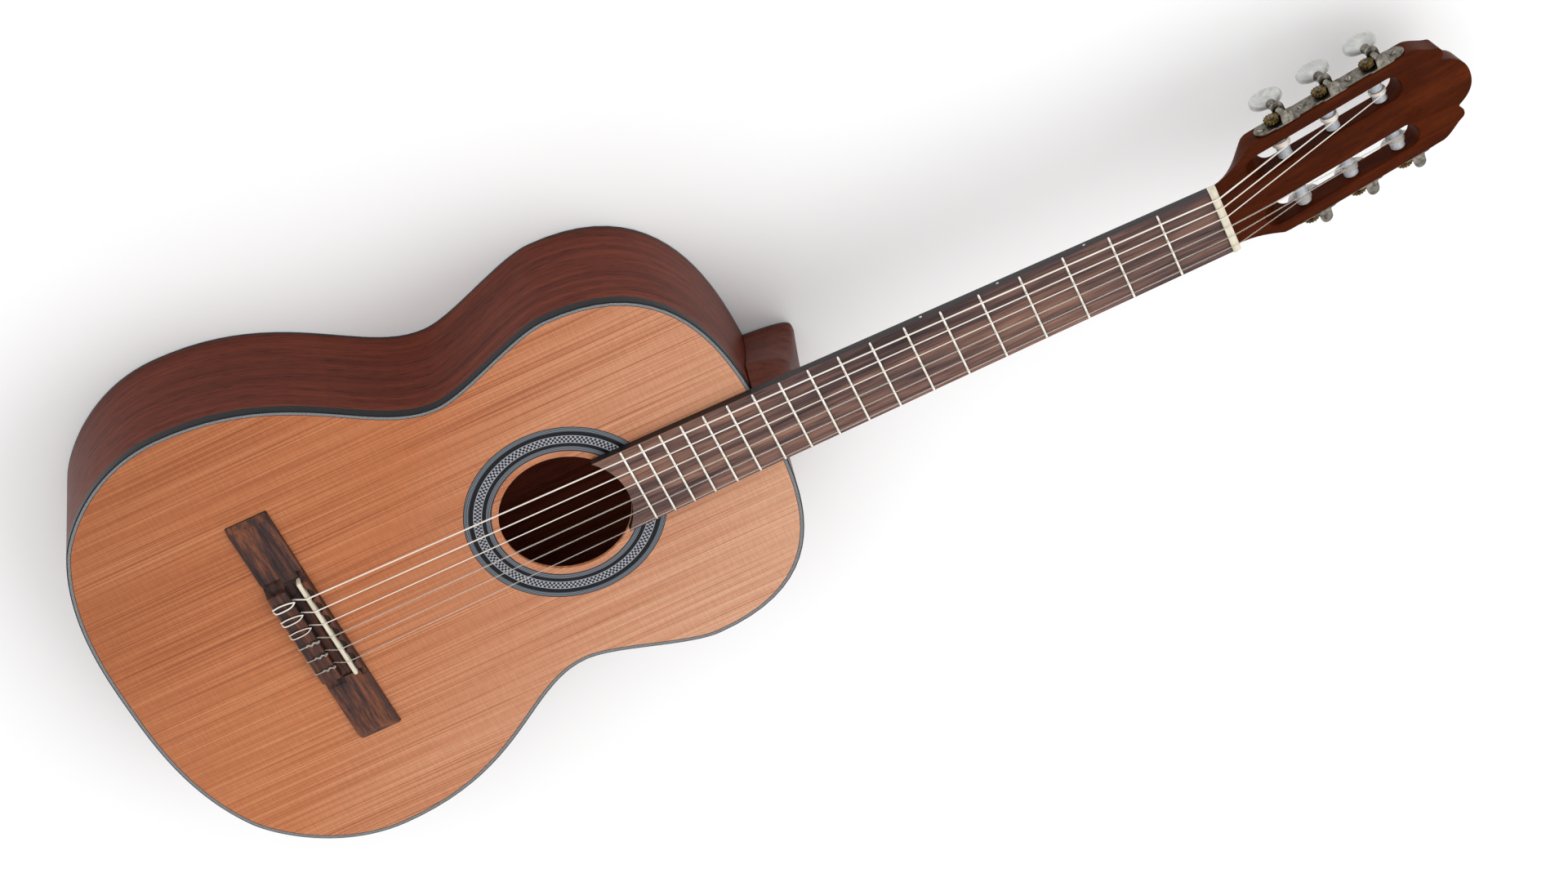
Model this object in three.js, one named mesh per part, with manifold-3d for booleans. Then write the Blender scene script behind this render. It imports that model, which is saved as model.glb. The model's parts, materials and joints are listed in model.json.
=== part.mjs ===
// A classical guitar with six nylon strings and a slotted headstock.
//
// Units are millimetres, +Z is up. The guitar lies on its back: +Y points from the tail to the
// head, +X to the treble side, and the underside of the back plate is z = 0. The origin is under
// the middle of the whole length. Lengths along the neck are measured from the front edge of the
// nut (positive towards the head), and NUT_Y moves them into the part's own frame.

import * as THREE from 'three';
import { mergeVertices } from 'three/addons/utils/BufferGeometryUtils.js';
import Module from 'manifold-3d';

const wasm = await Module();
wasm.setup();

// ---- Driving dimensions -------------------------------------------------------------------------

const GAP = 0.3; // clearance between pieces that would otherwise touch

// Body outline: half widths, and places measured from the nut
const SCALE_LENGTH = 650;
const BODY_END = -SCALE_LENGTH / 2 + 1; // the neck joins the body at the 12th fret
const TAIL = -800.8;
const LOWER_BOUT = { half: 181.5, at: -682 };
const WAIST = { half: 116.5, at: -512 };
const UPPER_BOUT = { half: 142, at: -422.5 };
const TAIL_CORNER = { half: 128, at: -775.8 };
const CURVE_STEPS = 6; // straight pieces in each curve of the outline
const ROUND_DETAIL = 16; // half the number of sides of a soundhole ring

// Body shell
const BODY_DEPTH = 100;
const TOP_THICKNESS = 2.5;
const BACK_THICKNESS = 2.7;
const SIDE_THICKNESS = 2.2;
const BINDING_WIDTH = 2.4;
const TOP_BINDING_HEIGHT = 7;
const BACK_BINDING_HEIGHT = 3;
const LINING_WIDTH = 5;
const LINING_HEIGHT = 14;
const NECK_BLOCK = { half: 45, reach: 32 };
const TAIL_BLOCK = { half: 30, reach: 14 };

// Soundhole and rosette
const HOLE_AT = -473.4;
const HOLE_RADIUS = 44.6;
const ROSETTE_INNER = 49.3;
const ROSETTE_OUTER = 68.2;
const ROSETTE_THICKNESS = 1;

// Braces
const BAR = { width: 8, height: 16 };
const FAN_BRACE = { width: 6, height: 5.5, length: 200 };
const BACK_BRACE = { width: 8, height: 14 };
const UPPER_BAR = { at: -402, half: 128 };
const LOWER_BAR = { at: -536, half: 110 };
const FAN_MIDDLE = -652;
const FAN_SPREAD = 52; // distance between fan braces at their middle
const FAN_ANGLE = THREE.MathUtils.degToRad(7);
const BACK_BRACES = { back_brace_upper: { at: -420, half: 128 }, back_brace_lower: { at: -625, half: 160 } };

// Neck, fingerboard, nut and heel
const NUT_WIDTH = 50;
const NUT_LENGTH = 5.6;
const NUT_HEIGHT = 8.3;
const WIDTH_AT_BODY = 58;
const BOARD_THICKNESS = 6.4;
const BOARD_REACH = 33; // from the middle of the soundhole to the corners of the fingerboard's end
const NECK_DEPTH_AT_NUT = 15.5;
const NECK_DEPTH_AT_BODY = 17.5;
const NECK_BLANK = 18; // depth of the squared end of the neck over the heel
const NECK_ROUNDNESS = 2.8; // power of the curve across the neck's back; 2 is a parabola
const HEEL_FOOT = { height: 4.5, half: 11, reach: 33, squareness: 2 };
const HEEL_TOP = { half: 28.6, reach: 27, squareness: 5 };
const HEEL_CAP_THICKNESS = 2.7;

// Headstock: s runs along its face from the nut, z is out of the face
const HEAD_TILT = THREE.MathUtils.degToRad(11);
const HEAD_LIFT = 2; // height of the face above the soundboard at the nut
const HEAD_THICKNESS = 18;
const HEAD_LENGTH = 193;
const HEAD_HALF = 36.5;
const HEAD_START = 6;
const SHOULDER = 36.5;
const SHOULDER_EDGE = 2; // thickness of the head's edge where it meets the nut
const NECK_BACK_FLAT = 8; // half width of the flat that runs from the neck into the head's back
const SLOT = { centre: 19.5, half: 8.5, face: 29, back: 45.5, roundAt: 138 };

// Tuning machines
const MACHINE_S = [59.5, 95.7, 131.9]; // roller places along the headstock
const ROLLER_DEPTH = 8.5;
const ROLLER_RADIUS = 5;
const PIVOT = { radius: 3, length: 5.5 };
const SHAFT_RADIUS = 3.6;
const STUB_RADIUS = 2.2;
const BORE_CLEARANCE = 0.4;
const PLATE = { thickness: 1.2, from: 45, to: 158.5, front: -1, back: -16, corner: 4 };
const EAR = { half: 4.4, thickness: 1.4, reach: 8.6 };
const TEETH = 14;
const CENTRE_DISTANCE = 7.6;
const WORM_RADIUS = 2.25;
const THREAD_OFFSET = 0.5; // the thread is a round core carried round the axis at this radius
const THREAD_LENGTH = 8.4;
const THREAD_STEPS = 20;
const CORE_INSET = 0.1; // keeps the shaft inside the thread, which is carried round it
const GEAR_WIDTH = 2.8;
const TOOTH = { rootHalf: 0.82, tipHalf: 0.25, tipClearance: 0.35, rootClearance: 0.25 };
const HUB_RADIUS = 3.4;
const WORM_SHAFT_RADIUS = 1.9;
const FRONT_JOURNAL_RADIUS = 1.5;
const COLLAR_RADIUS = 3.2;
const BUTTON = { halfLong: 12, halfShort: 9, thickness: 8.5, bevel: 2.5, depth: 33, bore: 5 };

// Bridge and saddle
const BRIDGE = { half: 99, front: -645, back: -675.3, wing: 3.8, block: 9 };
const BLOCK_HALF = 44;
const SADDLE = { half: 42.7, thickness: 2.8, at: -651, top: 10.4, foot: 3.2 };
const TIE_FACE = -661.5;
const TIE_HOLE_RADIUS = 1.4;
const TIE_HOLE_HEIGHT = 5;

// Strings, from the first (treble) to the sixth (bass)
const STRING_RADII = [0.36, 0.41, 0.51, 0.38, 0.46, 0.55];
const SPACING_AT_SADDLE = 11.9;
const SPACING_AT_NUT = 7.7;
const ROLLER_LANDING = [21, 19, 17.5]; // where strings meet the first, second and third roller

// ---- Derived dimensions -------------------------------------------------------------------------

const HEAD_REACH = HEAD_LENGTH * Math.cos(HEAD_TILT);
const NUT_Y = -(TAIL + HEAD_REACH) / 2;
const BINDING_INSET = BINDING_WIDTH + GAP;
const LINING_INSET = SIDE_THICKNESS + GAP;
const TOP_UNDERSIDE = BODY_DEPTH - TOP_THICKNESS;
const GEAR_PITCH_RADIUS = CENTRE_DISTANCE - WORM_RADIUS;
const THREAD_LEAD = (2 * Math.PI * GEAR_PITCH_RADIUS) / TEETH;
const PLATE_INSIDE = HEAD_HALF + GAP;
const PLATE_OUTSIDE = PLATE_INSIDE + PLATE.thickness;
const GEAR_X = PLATE_OUTSIDE + WORM_RADIUS + THREAD_OFFSET + BORE_CLEARANCE;
const WIDTH_TAPER = (WIDTH_AT_BODY - NUT_WIDTH) / SCALE_LENGTH; // growth of half width per mm

const boardHalfWidth = (fromNut) => NUT_WIDTH / 2 - WIDTH_TAPER * fromNut;

// ---- Finishes -----------------------------------------------------------------------------------

const finish = (color, roughness, metalness = 0) =>
  () => new THREE.MeshStandardMaterial({ color, roughness, metalness });
const cedar = finish('#c87d55', 0.45);
const mahogany = finish('#643226', 0.4);
const darkMahogany = finish('#5a2012', 0.35);
const rosewood = finish('#4a3430', 0.5);
const blackPlastic = finish('#1a1a1c', 0.35);
const mosaic = finish('#6f7680', 0.5);
const bone = finish('#e8dfc8', 0.4);
const paleWood = finish('#d8bd92', 0.6);
const nickel = finish('#8d8a84', 0.35, 0.9);
const brass = finish('#a5823f', 0.35, 0.9);
const whitePlastic = finish('#c9ccd0', 0.4);
const pearl = finish('#e9e9e4', 0.25);
const woundString = finish('#b9b4ac', 0.3, 0.8);
const nylon = finish('#d9d2c8', 0.3);

// ---- Building helpers ---------------------------------------------------------------------------

const guitar = new THREE.Group();
const head = new THREE.Group();
head.position.set(0, NUT_Y, BODY_DEPTH + HEAD_LIFT);
head.rotation.x = -HEAD_TILT;
guitar.add(head);

function addPiece(parent, name, geometry, material) {
  const mesh = new THREE.Mesh(geometry, material());
  mesh.name = name;
  parent.add(mesh);
  return mesh;
}

// A closed geometry as a solid that can be cut and joined.
function toSolid(geometry) {
  const bare = geometry.clone();
  bare.deleteAttribute('normal');
  bare.deleteAttribute('uv');
  const merged = mergeVertices(bare, 1e-4);
  return new wasm.Manifold(new wasm.Mesh({
    numProp: 3,
    vertProperties: new Float32Array(merged.attributes.position.array),
    triVerts: new Uint32Array(merged.index.array),
  }));
}

function toGeometry(solid) {
  const mesh = solid.getMesh();
  const geometry = new THREE.BufferGeometry();
  geometry.setAttribute('position', new THREE.BufferAttribute(mesh.vertProperties, 3));
  geometry.setIndex(new THREE.BufferAttribute(mesh.triVerts, 1));
  return geometry;
}

const join = (pieces) => pieces.map(toSolid).reduce((whole, piece) => whole.add(piece));
const cut = (whole, tools) => toGeometry(tools.map(toSolid).reduce((rest, tool) => rest.subtract(tool), whole));

const shapeOf = (points) => new THREE.Shape(points.map(([x, y]) => new THREE.Vector2(x, y)));

// A flat outline in x and y, raised from one height to another.
function slab(shape, bottom, top, curveSegments = 6, steps = 1) {
  const settings = { depth: top - bottom, steps, bevelEnabled: false, curveSegments };
  return new THREE.ExtrudeGeometry(shape, settings).translate(0, 0, bottom);
}

// Turns what was drawn in x and y and raised along z, so that it lies in y and z and runs along x.
const layAcross = (geometry) => geometry.rotateY(Math.PI / 2).rotateX(Math.PI / 2);

// An outline in y and z, drawn across from one x to another.
const barAcross = (points, left, right) => layAcross(slab(shapeOf(points), left, right));

function block(x, y, z) {
  const size = [x, y, z].map(([low, high]) => high - low);
  const middle = [x, y, z].map(([low, high]) => (low + high) / 2);
  return new THREE.BoxGeometry(...size).translate(...middle);
}

// A round bar along x, about the line at the given y and z.
function pinAlongX(radius, [left, right], y, z, sides = 14) {
  const geometry = new THREE.CylinderGeometry(radius, radius, right - left, sides);
  return geometry.rotateZ(Math.PI / 2).translate((left + right) / 2, y, z);
}

// A round bar along z.
function pinAlongZ(radius, [low, high], x, y, sides = 12) {
  const geometry = new THREE.CylinderGeometry(radius, radius, high - low, sides);
  return geometry.rotateX(Math.PI / 2).translate(x, y, (low + high) / 2);
}

// Moves every vertex by a function of its place.
function reshape(geometry, move) {
  const place = geometry.attributes.position;
  const point = new THREE.Vector3();
  for (let i = 0; i < place.count; i += 1) {
    move(point.fromBufferAttribute(place, i));
    place.setXYZ(i, point.x, point.y, point.z);
  }
  return geometry;
}

// ---- Body outline -------------------------------------------------------------------------------

// The treble half of the outline from the tail to the neck joint, in lengths from the nut.
function outlineCurves() {
  const point = (x, y) => new THREE.Vector2(x, y);
  const curve = (...points) => new THREE.CubicBezierCurve(...points);
  const corner = point(TAIL_CORNER.half, TAIL_CORNER.at);
  const lower = point(LOWER_BOUT.half, LOWER_BOUT.at);
  const waist = point(WAIST.half, WAIST.at);
  const upper = point(UPPER_BOUT.half, UPPER_BOUT.at);
  return [
    curve(point(0, TAIL), point(31.5, TAIL), point(84, TAIL), corner),
    curve(corner, point(143.5, -767.1), point(lower.x, -732), lower),
    curve(lower, point(lower.x, -587.5), point(waist.x, -557.5), waist),
    curve(waist, point(waist.x, -490), point(upper.x, -446), upper),
    curve(upper, point(upper.x, -324), point(49, BODY_END), point(0, BODY_END)),
  ];
}

// Points of that half, moved inwards by inset and into the part's frame.
function halfOutline(inset) {
  const points = [];
  for (const curve of outlineCurves()) {
    const first = points.length === 0 ? 0 : 1;
    for (let step = first; step <= CURVE_STEPS; step += 1) {
      const place = curve.getPoint(step / CURVE_STEPS);
      const along = curve.getTangent(step / CURVE_STEPS);
      points.push([Math.max(0, place.x - inset * along.y), place.y + inset * along.x + NUT_Y]);
    }
  }
  return points;
}

const mirrored = (points) => points.map(([x, y]) => [-x, y]);

function fullOutline(inset) {
  const half = halfOutline(inset);
  return [...half, ...mirrored(half).reverse().slice(1, -1)];
}

// A strip that follows one half of the outline between two insets. The stretch nearer to the
// centre line than tailHalf, at the tail, or neckHalf, at the neck, is left out.
function halfBand(side, outer, inner, tailHalf, neckHalf) {
  const keep = (inset) => halfOutline(inset)
    .filter(([x, y]) => x >= (y < LOWER_BOUT.at + NUT_Y ? tailHalf : neckHalf));
  return shapeOf([...keep(outer), ...keep(inner).reverse()].map(([x, y]) => [side * Math.max(x, GAP / 2), y]));
}

function ringBand(outer, inner) {
  const shape = shapeOf(fullOutline(outer));
  shape.holes.push(shapeOf(fullOutline(inner)));
  return shape;
}

// ---- Body ---------------------------------------------------------------------------------------

function disc(radius) {
  const shape = new THREE.Shape();
  shape.absarc(0, HOLE_AT + NUT_Y, radius, 0, 2 * Math.PI, false);
  return shape;
}

function soundboard() {
  const plate = shapeOf(fullOutline(BINDING_INSET));
  plate.holes.push(disc(HOLE_RADIUS));
  const groove = disc(ROSETTE_OUTER + GAP);
  groove.holes.push(disc(ROSETTE_INNER - GAP));
  const grooveFloor = BODY_DEPTH - ROSETTE_THICKNESS - GAP;
  const board = toSolid(slab(plate, TOP_UNDERSIDE, BODY_DEPTH, ROUND_DETAIL));
  return cut(board, [slab(groove, grooveFloor, BODY_DEPTH + 1, ROUND_DETAIL)]);
}

function rosette() {
  const ring = disc(ROSETTE_OUTER);
  ring.holes.push(disc(ROSETTE_INNER));
  return slab(ring, BODY_DEPTH - ROSETTE_THICKNESS, BODY_DEPTH, ROUND_DETAIL);
}

// A block glued inside one end of the body: its outer face follows the outline.
function endBlock(half, reach, atTail) {
  const curve = halfOutline(LINING_INSET).filter(([x, y]) => x <= half && (y < WAIST.at + NUT_Y) === atTail);
  const outer = atTail ? curve : curve.reverse();
  const inward = outer[0][1] + (atTail ? reach : -reach);
  const treble = [...outer, [outer.at(-1)[0], inward]];
  return shapeOf([...treble, ...mirrored(treble).reverse().slice(0, -1)]);
}

function brace(length, width, height, bottom) {
  return block([-length / 2, length / 2], [-width / 2, width / 2], [bottom, bottom + height]);
}

function buildBody() {
  addPiece(guitar, 'soundboard', soundboard(), cedar);
  addPiece(guitar, 'rosette', rosette(), mosaic);
  addPiece(guitar, 'back_plate', slab(shapeOf(fullOutline(BINDING_INSET)), 0, BACK_THICKNESS), mahogany);
  const topRing = slab(ringBand(0, BINDING_WIDTH), BODY_DEPTH - TOP_BINDING_HEIGHT, BODY_DEPTH);
  addPiece(guitar, 'binding_top', topRing, blackPlastic);
  const backRing = slab(ringBand(0, BINDING_WIDTH), 0, BACK_BINDING_HEIGHT);
  addPiece(guitar, 'binding_back', backRing, blackPlastic);
  const sideTop = BODY_DEPTH - TOP_BINDING_HEIGHT;
  const liningTop = TOP_UNDERSIDE - LINING_HEIGHT;
  for (const [name, side] of [['bass', -1], ['treble', 1]]) {
    const rib = halfBand(side, 0, SIDE_THICKNESS, 0, 0);
    addPiece(guitar, `side_${name}`, slab(rib, BACK_BINDING_HEIGHT, sideTop), mahogany);
    const tailEdge = TAIL_BLOCK.half + 1;
    const neckEdge = NECK_BLOCK.half + 1;
    const strip = halfBand(side, LINING_INSET, LINING_INSET + LINING_WIDTH, tailEdge, neckEdge);
    addPiece(guitar, `lining_top_${name}`, slab(strip, liningTop, TOP_UNDERSIDE), paleWood);
    const backLining = slab(strip, BACK_THICKNESS, BACK_THICKNESS + LINING_HEIGHT);
    addPiece(guitar, `lining_back_${name}`, backLining, paleWood);
  }
  const neckBlock = endBlock(NECK_BLOCK.half, NECK_BLOCK.reach, false);
  addPiece(guitar, 'neck_block', slab(neckBlock, BACK_THICKNESS, TOP_UNDERSIDE), mahogany);
  const tailBlock = endBlock(TAIL_BLOCK.half, TAIL_BLOCK.reach, true);
  addPiece(guitar, 'tail_block', slab(tailBlock, BACK_THICKNESS, TOP_UNDERSIDE), mahogany);
}

function buildBraces() {
  for (const [name, bar] of [['upper_bar', UPPER_BAR], ['lower_bar', LOWER_BAR]]) {
    const geometry = brace(2 * bar.half, BAR.width, BAR.height, TOP_UNDERSIDE - BAR.height);
    addPiece(guitar, name, geometry, paleWood).position.y = bar.at + NUT_Y;
  }
  for (const [name, side] of [['bass', -1], ['centre', 0], ['treble', 1]]) {
    const geometry = brace(FAN_BRACE.width, FAN_BRACE.length, FAN_BRACE.height, TOP_UNDERSIDE - FAN_BRACE.height);
    const piece = addPiece(guitar, `fan_brace_${name}`, geometry, paleWood);
    piece.position.set(side * FAN_SPREAD, FAN_MIDDLE + NUT_Y, 0);
    piece.rotation.z = side * FAN_ANGLE;
  }
  for (const [name, bar] of Object.entries(BACK_BRACES)) {
    const geometry = brace(2 * bar.half, BACK_BRACE.width, BACK_BRACE.height, BACK_THICKNESS);
    addPiece(guitar, name, geometry, paleWood).position.y = bar.at + NUT_Y;
  }
}

// ---- Neck ---------------------------------------------------------------------------------------

function fingerboard() {
  const end = boardHalfWidth(HOLE_AT + BOARD_REACH);
  const cornerAngle = Math.acos(end / HOLE_RADIUS);
  const shape = new THREE.Shape();
  shape.moveTo(NUT_WIDTH / 2, NUT_Y);
  shape.lineTo(-NUT_WIDTH / 2, NUT_Y);
  shape.absarc(0, HOLE_AT + NUT_Y, HOLE_RADIUS, Math.PI - cornerAngle, cornerAngle, true);
  return slab(shape, BODY_DEPTH, BODY_DEPTH + BOARD_THICKNESS);
}

// The neck's rounded back under a flat top, from one place along the neck to another.
function neckShaft(from, to) {
  const facets = 12;
  const curve = Array.from({ length: facets + 1 }, (_, i) => {
    const across = -Math.cos((i * Math.PI) / facets);
    return [across, Math.abs(across) ** NECK_ROUNDNESS - 1];
  });
  const drawn = slab(shapeOf(curve), 0, to - from, 1, 4).rotateX(Math.PI / 2);
  return reshape(drawn, (point) => {
    const fromNut = to + point.y;
    const depth = THREE.MathUtils.lerp(NECK_DEPTH_AT_NUT, NECK_DEPTH_AT_BODY, fromNut / BODY_END);
    point.set(point.x * boardHalfWidth(fromNut), fromNut + NUT_Y, BODY_DEPTH + point.z * depth);
  });
}

// A tongue that points from the body towards the head. Its half width, reach and squareness are
// those of one end at the bottom and of the other end at the top. A squareness of 2 is an ellipse,
// and a larger one is nearer to a rectangle.
function tongue(bottom, top, lowEnd, highEnd) {
  const section = new THREE.Shape();
  section.absellipse(0, 0, 1, 1, 0, Math.PI, false);
  const steps = 4;
  return reshape(slab(section, bottom, top, 7, steps), (point) => {
    const rise = (point.z - bottom) / (top - bottom);
    const between = (name) => THREE.MathUtils.lerp(lowEnd[name], highEnd[name], rise);
    const power = 2 / between('squareness');
    point.x = between('half') * Math.sign(point.x) * Math.abs(point.x) ** power;
    point.y = BODY_END + GAP + NUT_Y + between('reach') * Math.max(point.y, 0) ** power;
  });
}

function neck() {
  const shaft = neckShaft(BODY_END + GAP, 2 * HEAD_START);
  const blank = tongue(BODY_DEPTH - NECK_BLANK, BODY_DEPTH, HEEL_TOP, HEEL_TOP);
  const beyondHead = block([-NUT_WIDTH, NUT_WIDTH], [HEAD_START, 10 * HEAD_START], [-NUT_WIDTH, NUT_WIDTH]);
  return cut(join([shaft, blank]), [beyondHead.applyMatrix4(head.matrix)]);
}

function buildNeck() {
  addPiece(guitar, 'neck', neck(), mahogany);
  addPiece(guitar, 'fingerboard', fingerboard(), rosewood);
  const nutOutline = [[0, 0], [NUT_LENGTH, 0], [NUT_LENGTH, NUT_HEIGHT - 1], [0, NUT_HEIGHT]];
  const nut = barAcross(nutOutline, -NUT_WIDTH / 2, NUT_WIDTH / 2);
  addPiece(guitar, 'nut', nut, bone).position.set(0, NUT_Y, BODY_DEPTH);
  const capTop = HEEL_FOOT.height + HEEL_CAP_THICKNESS;
  const heelTop = BODY_DEPTH - NECK_BLANK - GAP;
  addPiece(guitar, 'heel', tongue(capTop, heelTop, HEEL_FOOT, HEEL_TOP), mahogany);
  const cap = tongue(HEEL_FOOT.height, capTop, HEEL_FOOT, HEEL_FOOT);
  addPiece(guitar, 'heel_cap', cap, darkMahogany);
}

// ---- Headstock ----------------------------------------------------------------------------------

// The face outline: flared shoulders, straight sides, and a crest of two ears and a dome.
function headOutline() {
  const shape = new THREE.Shape();
  shape.moveTo(0, HEAD_START + GAP);
  shape.lineTo(NUT_WIDTH / 2, HEAD_START + GAP);
  shape.bezierCurveTo(26, 16, 30, 25, HEAD_HALF - 1, SHOULDER);
  shape.lineTo(HEAD_HALF, SHOULDER + 5);
  shape.lineTo(HEAD_HALF, 161);
  shape.bezierCurveTo(36, 166, 31, 171, 29, 176.5);
  shape.bezierCurveTo(28, 179.8, 24.5, 181, 22, 179.3);
  shape.bezierCurveTo(20.5, 178, 19, 177.6, 17.8, 179.6);
  shape.bezierCurveTo(14, 187, 8, HEAD_LENGTH, 0, HEAD_LENGTH);
  const treble = shape.getPoints(6).slice(1).map((point) => [point.x, point.y]);
  return shapeOf([...treble, ...mirrored(treble).reverse().slice(1)]);
}

// The space of one string slot: a ramp at the nut end, straight walls and a round far end.
function slotSpace(side) {
  const run = (SLOT.back - SLOT.face) / HEAD_THICKNESS;
  const below = -HEAD_THICKNESS - 1;
  const profile = [[SLOT.face - run, 1], [SLOT.back + run, below], [SLOT.roundAt, below], [SLOT.roundAt, 1]];
  const middle = side * SLOT.centre;
  const trough = barAcross(profile, middle - SLOT.half, middle + SLOT.half);
  return [trough, pinAlongZ(SLOT.half, [below, 1], middle, SLOT.roundAt, 16)];
}

// All that lies outside a plane through both ends of a shoulder's edge and through the neck's back,
// so that the back of the head runs into the rounded neck.
function shoulderRelief(side) {
  const start = new THREE.Vector3(side * NUT_WIDTH / 2, HEAD_START, -SHOULDER_EDGE);
  const end = new THREE.Vector3(side * HEAD_HALF, SHOULDER + 5, -HEAD_THICKNESS);
  const back = new THREE.Vector3(side * NECK_BACK_FLAT, HEAD_START, -HEAD_THICKNESS);
  const outward = end.sub(start).cross(back.sub(start)).multiplyScalar(-side).normalize();
  const size = 2 * HEAD_HALF;
  const relief = new THREE.BoxGeometry(size, size, size).translate(0, 0, size / 2);
  relief.applyQuaternion(new THREE.Quaternion().setFromUnitVectors(new THREE.Vector3(0, 0, 1), outward));
  return relief.translate(...start.toArray());
}

function headstock() {
  const body = toSolid(slab(headOutline(), -HEAD_THICKNESS, 0));
  const inner = SLOT.centre - SLOT.half;
  const outer = SLOT.centre + SLOT.half;
  const spaces = [];
  for (const side of [-1, 1]) {
    spaces.push(...slotSpace(side), shoulderRelief(side));
    for (const s of MACHINE_S) {
      const shaftBore = ordered(side, outer - 1, HEAD_HALF + 1);
      const pivotBore = ordered(side, inner - PIVOT.length - BORE_CLEARANCE, inner + 1);
      spaces.push(pinAlongX(SHAFT_RADIUS + BORE_CLEARANCE, shaftBore, s, -ROLLER_DEPTH, 10));
      spaces.push(pinAlongX(PIVOT.radius + BORE_CLEARANCE, pivotBore, s, -ROLLER_DEPTH, 10));
    }
  }
  return cut(body, spaces);
}

// ---- Tuning machines ----------------------------------------------------------------------------

// A stretch of x between two distances from the centre line, on the bass (-1) or treble (1) side.
function ordered(side, near, far) {
  return side > 0 ? [near, far] : [-far, -near];
}

// The side plate that carries three machines, with a folded ear before and behind each worm.
function tunerPlate(side) {
  const { from, to, front, back, corner } = PLATE;
  const outline = [
    [from, front - corner], [from + corner, front], [to - corner, front], [to, front - corner],
    [to, back + corner], [to - corner, back], [from + corner, back], [from, back + corner],
  ];
  const pieces = [barAcross(outline, ...ordered(side, PLATE_INSIDE, PLATE_OUTSIDE))];
  const holes = [];
  for (const s of MACHINE_S) {
    const wormS = s + CENTRE_DISTANCE;
    const across = ordered(side, PLATE_INSIDE, PLATE_OUTSIDE + EAR.reach);
    pieces.push(block(across, [wormS - EAR.half, wormS + EAR.half], [front - EAR.thickness, front]));
    pieces.push(block(across, [wormS - EAR.half, wormS + EAR.half], [back, back + EAR.thickness]));
    const through = ordered(side, PLATE_INSIDE - 1, PLATE_OUTSIDE + 1);
    holes.push(pinAlongX(SHAFT_RADIUS + BORE_CLEARANCE, through, s, -ROLLER_DEPTH, 12));
    const wormX = side * GEAR_X;
    holes.push(pinAlongZ(FRONT_JOURNAL_RADIUS + BORE_CLEARANCE, [-ROLLER_DEPTH, 1], wormX, wormS, 10));
    holes.push(pinAlongZ(WORM_SHAFT_RADIUS + BORE_CLEARANCE, [back - 1, -ROLLER_DEPTH], wormX, wormS, 10));
  }
  return cut(join(pieces), holes);
}

// A turned piece whose profile lists [radius, place along x]; side turns it for the bass side.
function turnedAlongX(profile, side) {
  const points = profile.map(([radius, x]) => new THREE.Vector2(radius, x));
  const geometry = new THREE.LatheGeometry(points, 10).rotateZ(-Math.PI / 2);
  return side > 0 ? geometry : geometry.rotateY(Math.PI);
}

function roller(side) {
  const inner = SLOT.centre - SLOT.half;
  const outer = SLOT.centre + SLOT.half;
  const shaftEnd = PLATE_OUTSIDE + GAP;
  const stubEnd = GEAR_X + GEAR_WIDTH / 2;
  return turnedAlongX([
    [0, inner - PIVOT.length], [PIVOT.radius, inner - PIVOT.length], [PIVOT.radius, inner + 0.5],
    [ROLLER_RADIUS, inner + 0.5], [ROLLER_RADIUS, outer - 0.5], [SHAFT_RADIUS, outer - 0.5],
    [SHAFT_RADIUS, shaftEnd], [STUB_RADIUS, shaftEnd], [STUB_RADIUS, stubEnd], [0, stubEnd],
  ], side);
}

// Tooth shape of the gear: narrower than the thread's groove everywhere, so it runs free.
function gearOutline() {
  const { rootHalf, tipHalf, tipClearance, rootClearance } = TOOTH;
  const tip = CENTRE_DISTANCE - (WORM_RADIUS - THREAD_OFFSET) - tipClearance;
  const root = CENTRE_DISTANCE - (WORM_RADIUS + THREAD_OFFSET) - rootClearance;
  const corners = [[root, -rootHalf], [tip, -tipHalf], [tip, tipHalf], [root, rootHalf]];
  const points = [];
  for (let tooth = 0; tooth < TEETH; tooth += 1) {
    const angle = (tooth * 2 * Math.PI) / TEETH;
    for (const [out, along] of corners) {
      const x = out * Math.cos(angle) - along * Math.sin(angle);
      const y = out * Math.sin(angle) + along * Math.cos(angle);
      points.push([x, y]);
    }
  }
  return shapeOf(points);
}

// The gear about its own centre, with its teeth leaning to follow the worm's thread.
function gear(side) {
  const lean = THREAD_LEAD / (2 * Math.PI * WORM_RADIUS * GEAR_PITCH_RADIUS);
  const rim = slab(gearOutline(), -GEAR_WIDTH / 2, GEAR_WIDTH / 2);
  reshape(rim, (point) => point.applyAxisAngle(new THREE.Vector3(0, 0, 1), lean * point.z));
  const hubSpan = [PLATE_OUTSIDE + GAP - GEAR_X, 0].map((x) => side * x).sort((a, b) => a - b);
  const hub = pinAlongX(HUB_RADIUS, hubSpan, 0, 0, 12);
  const bore = pinAlongX(STUB_RADIUS + GAP, [-2 * GEAR_WIDTH, 2 * GEAR_WIDTH], 0, 0, 10);
  return cut(join([layAcross(rim), hub]), [bore]);
}

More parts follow.
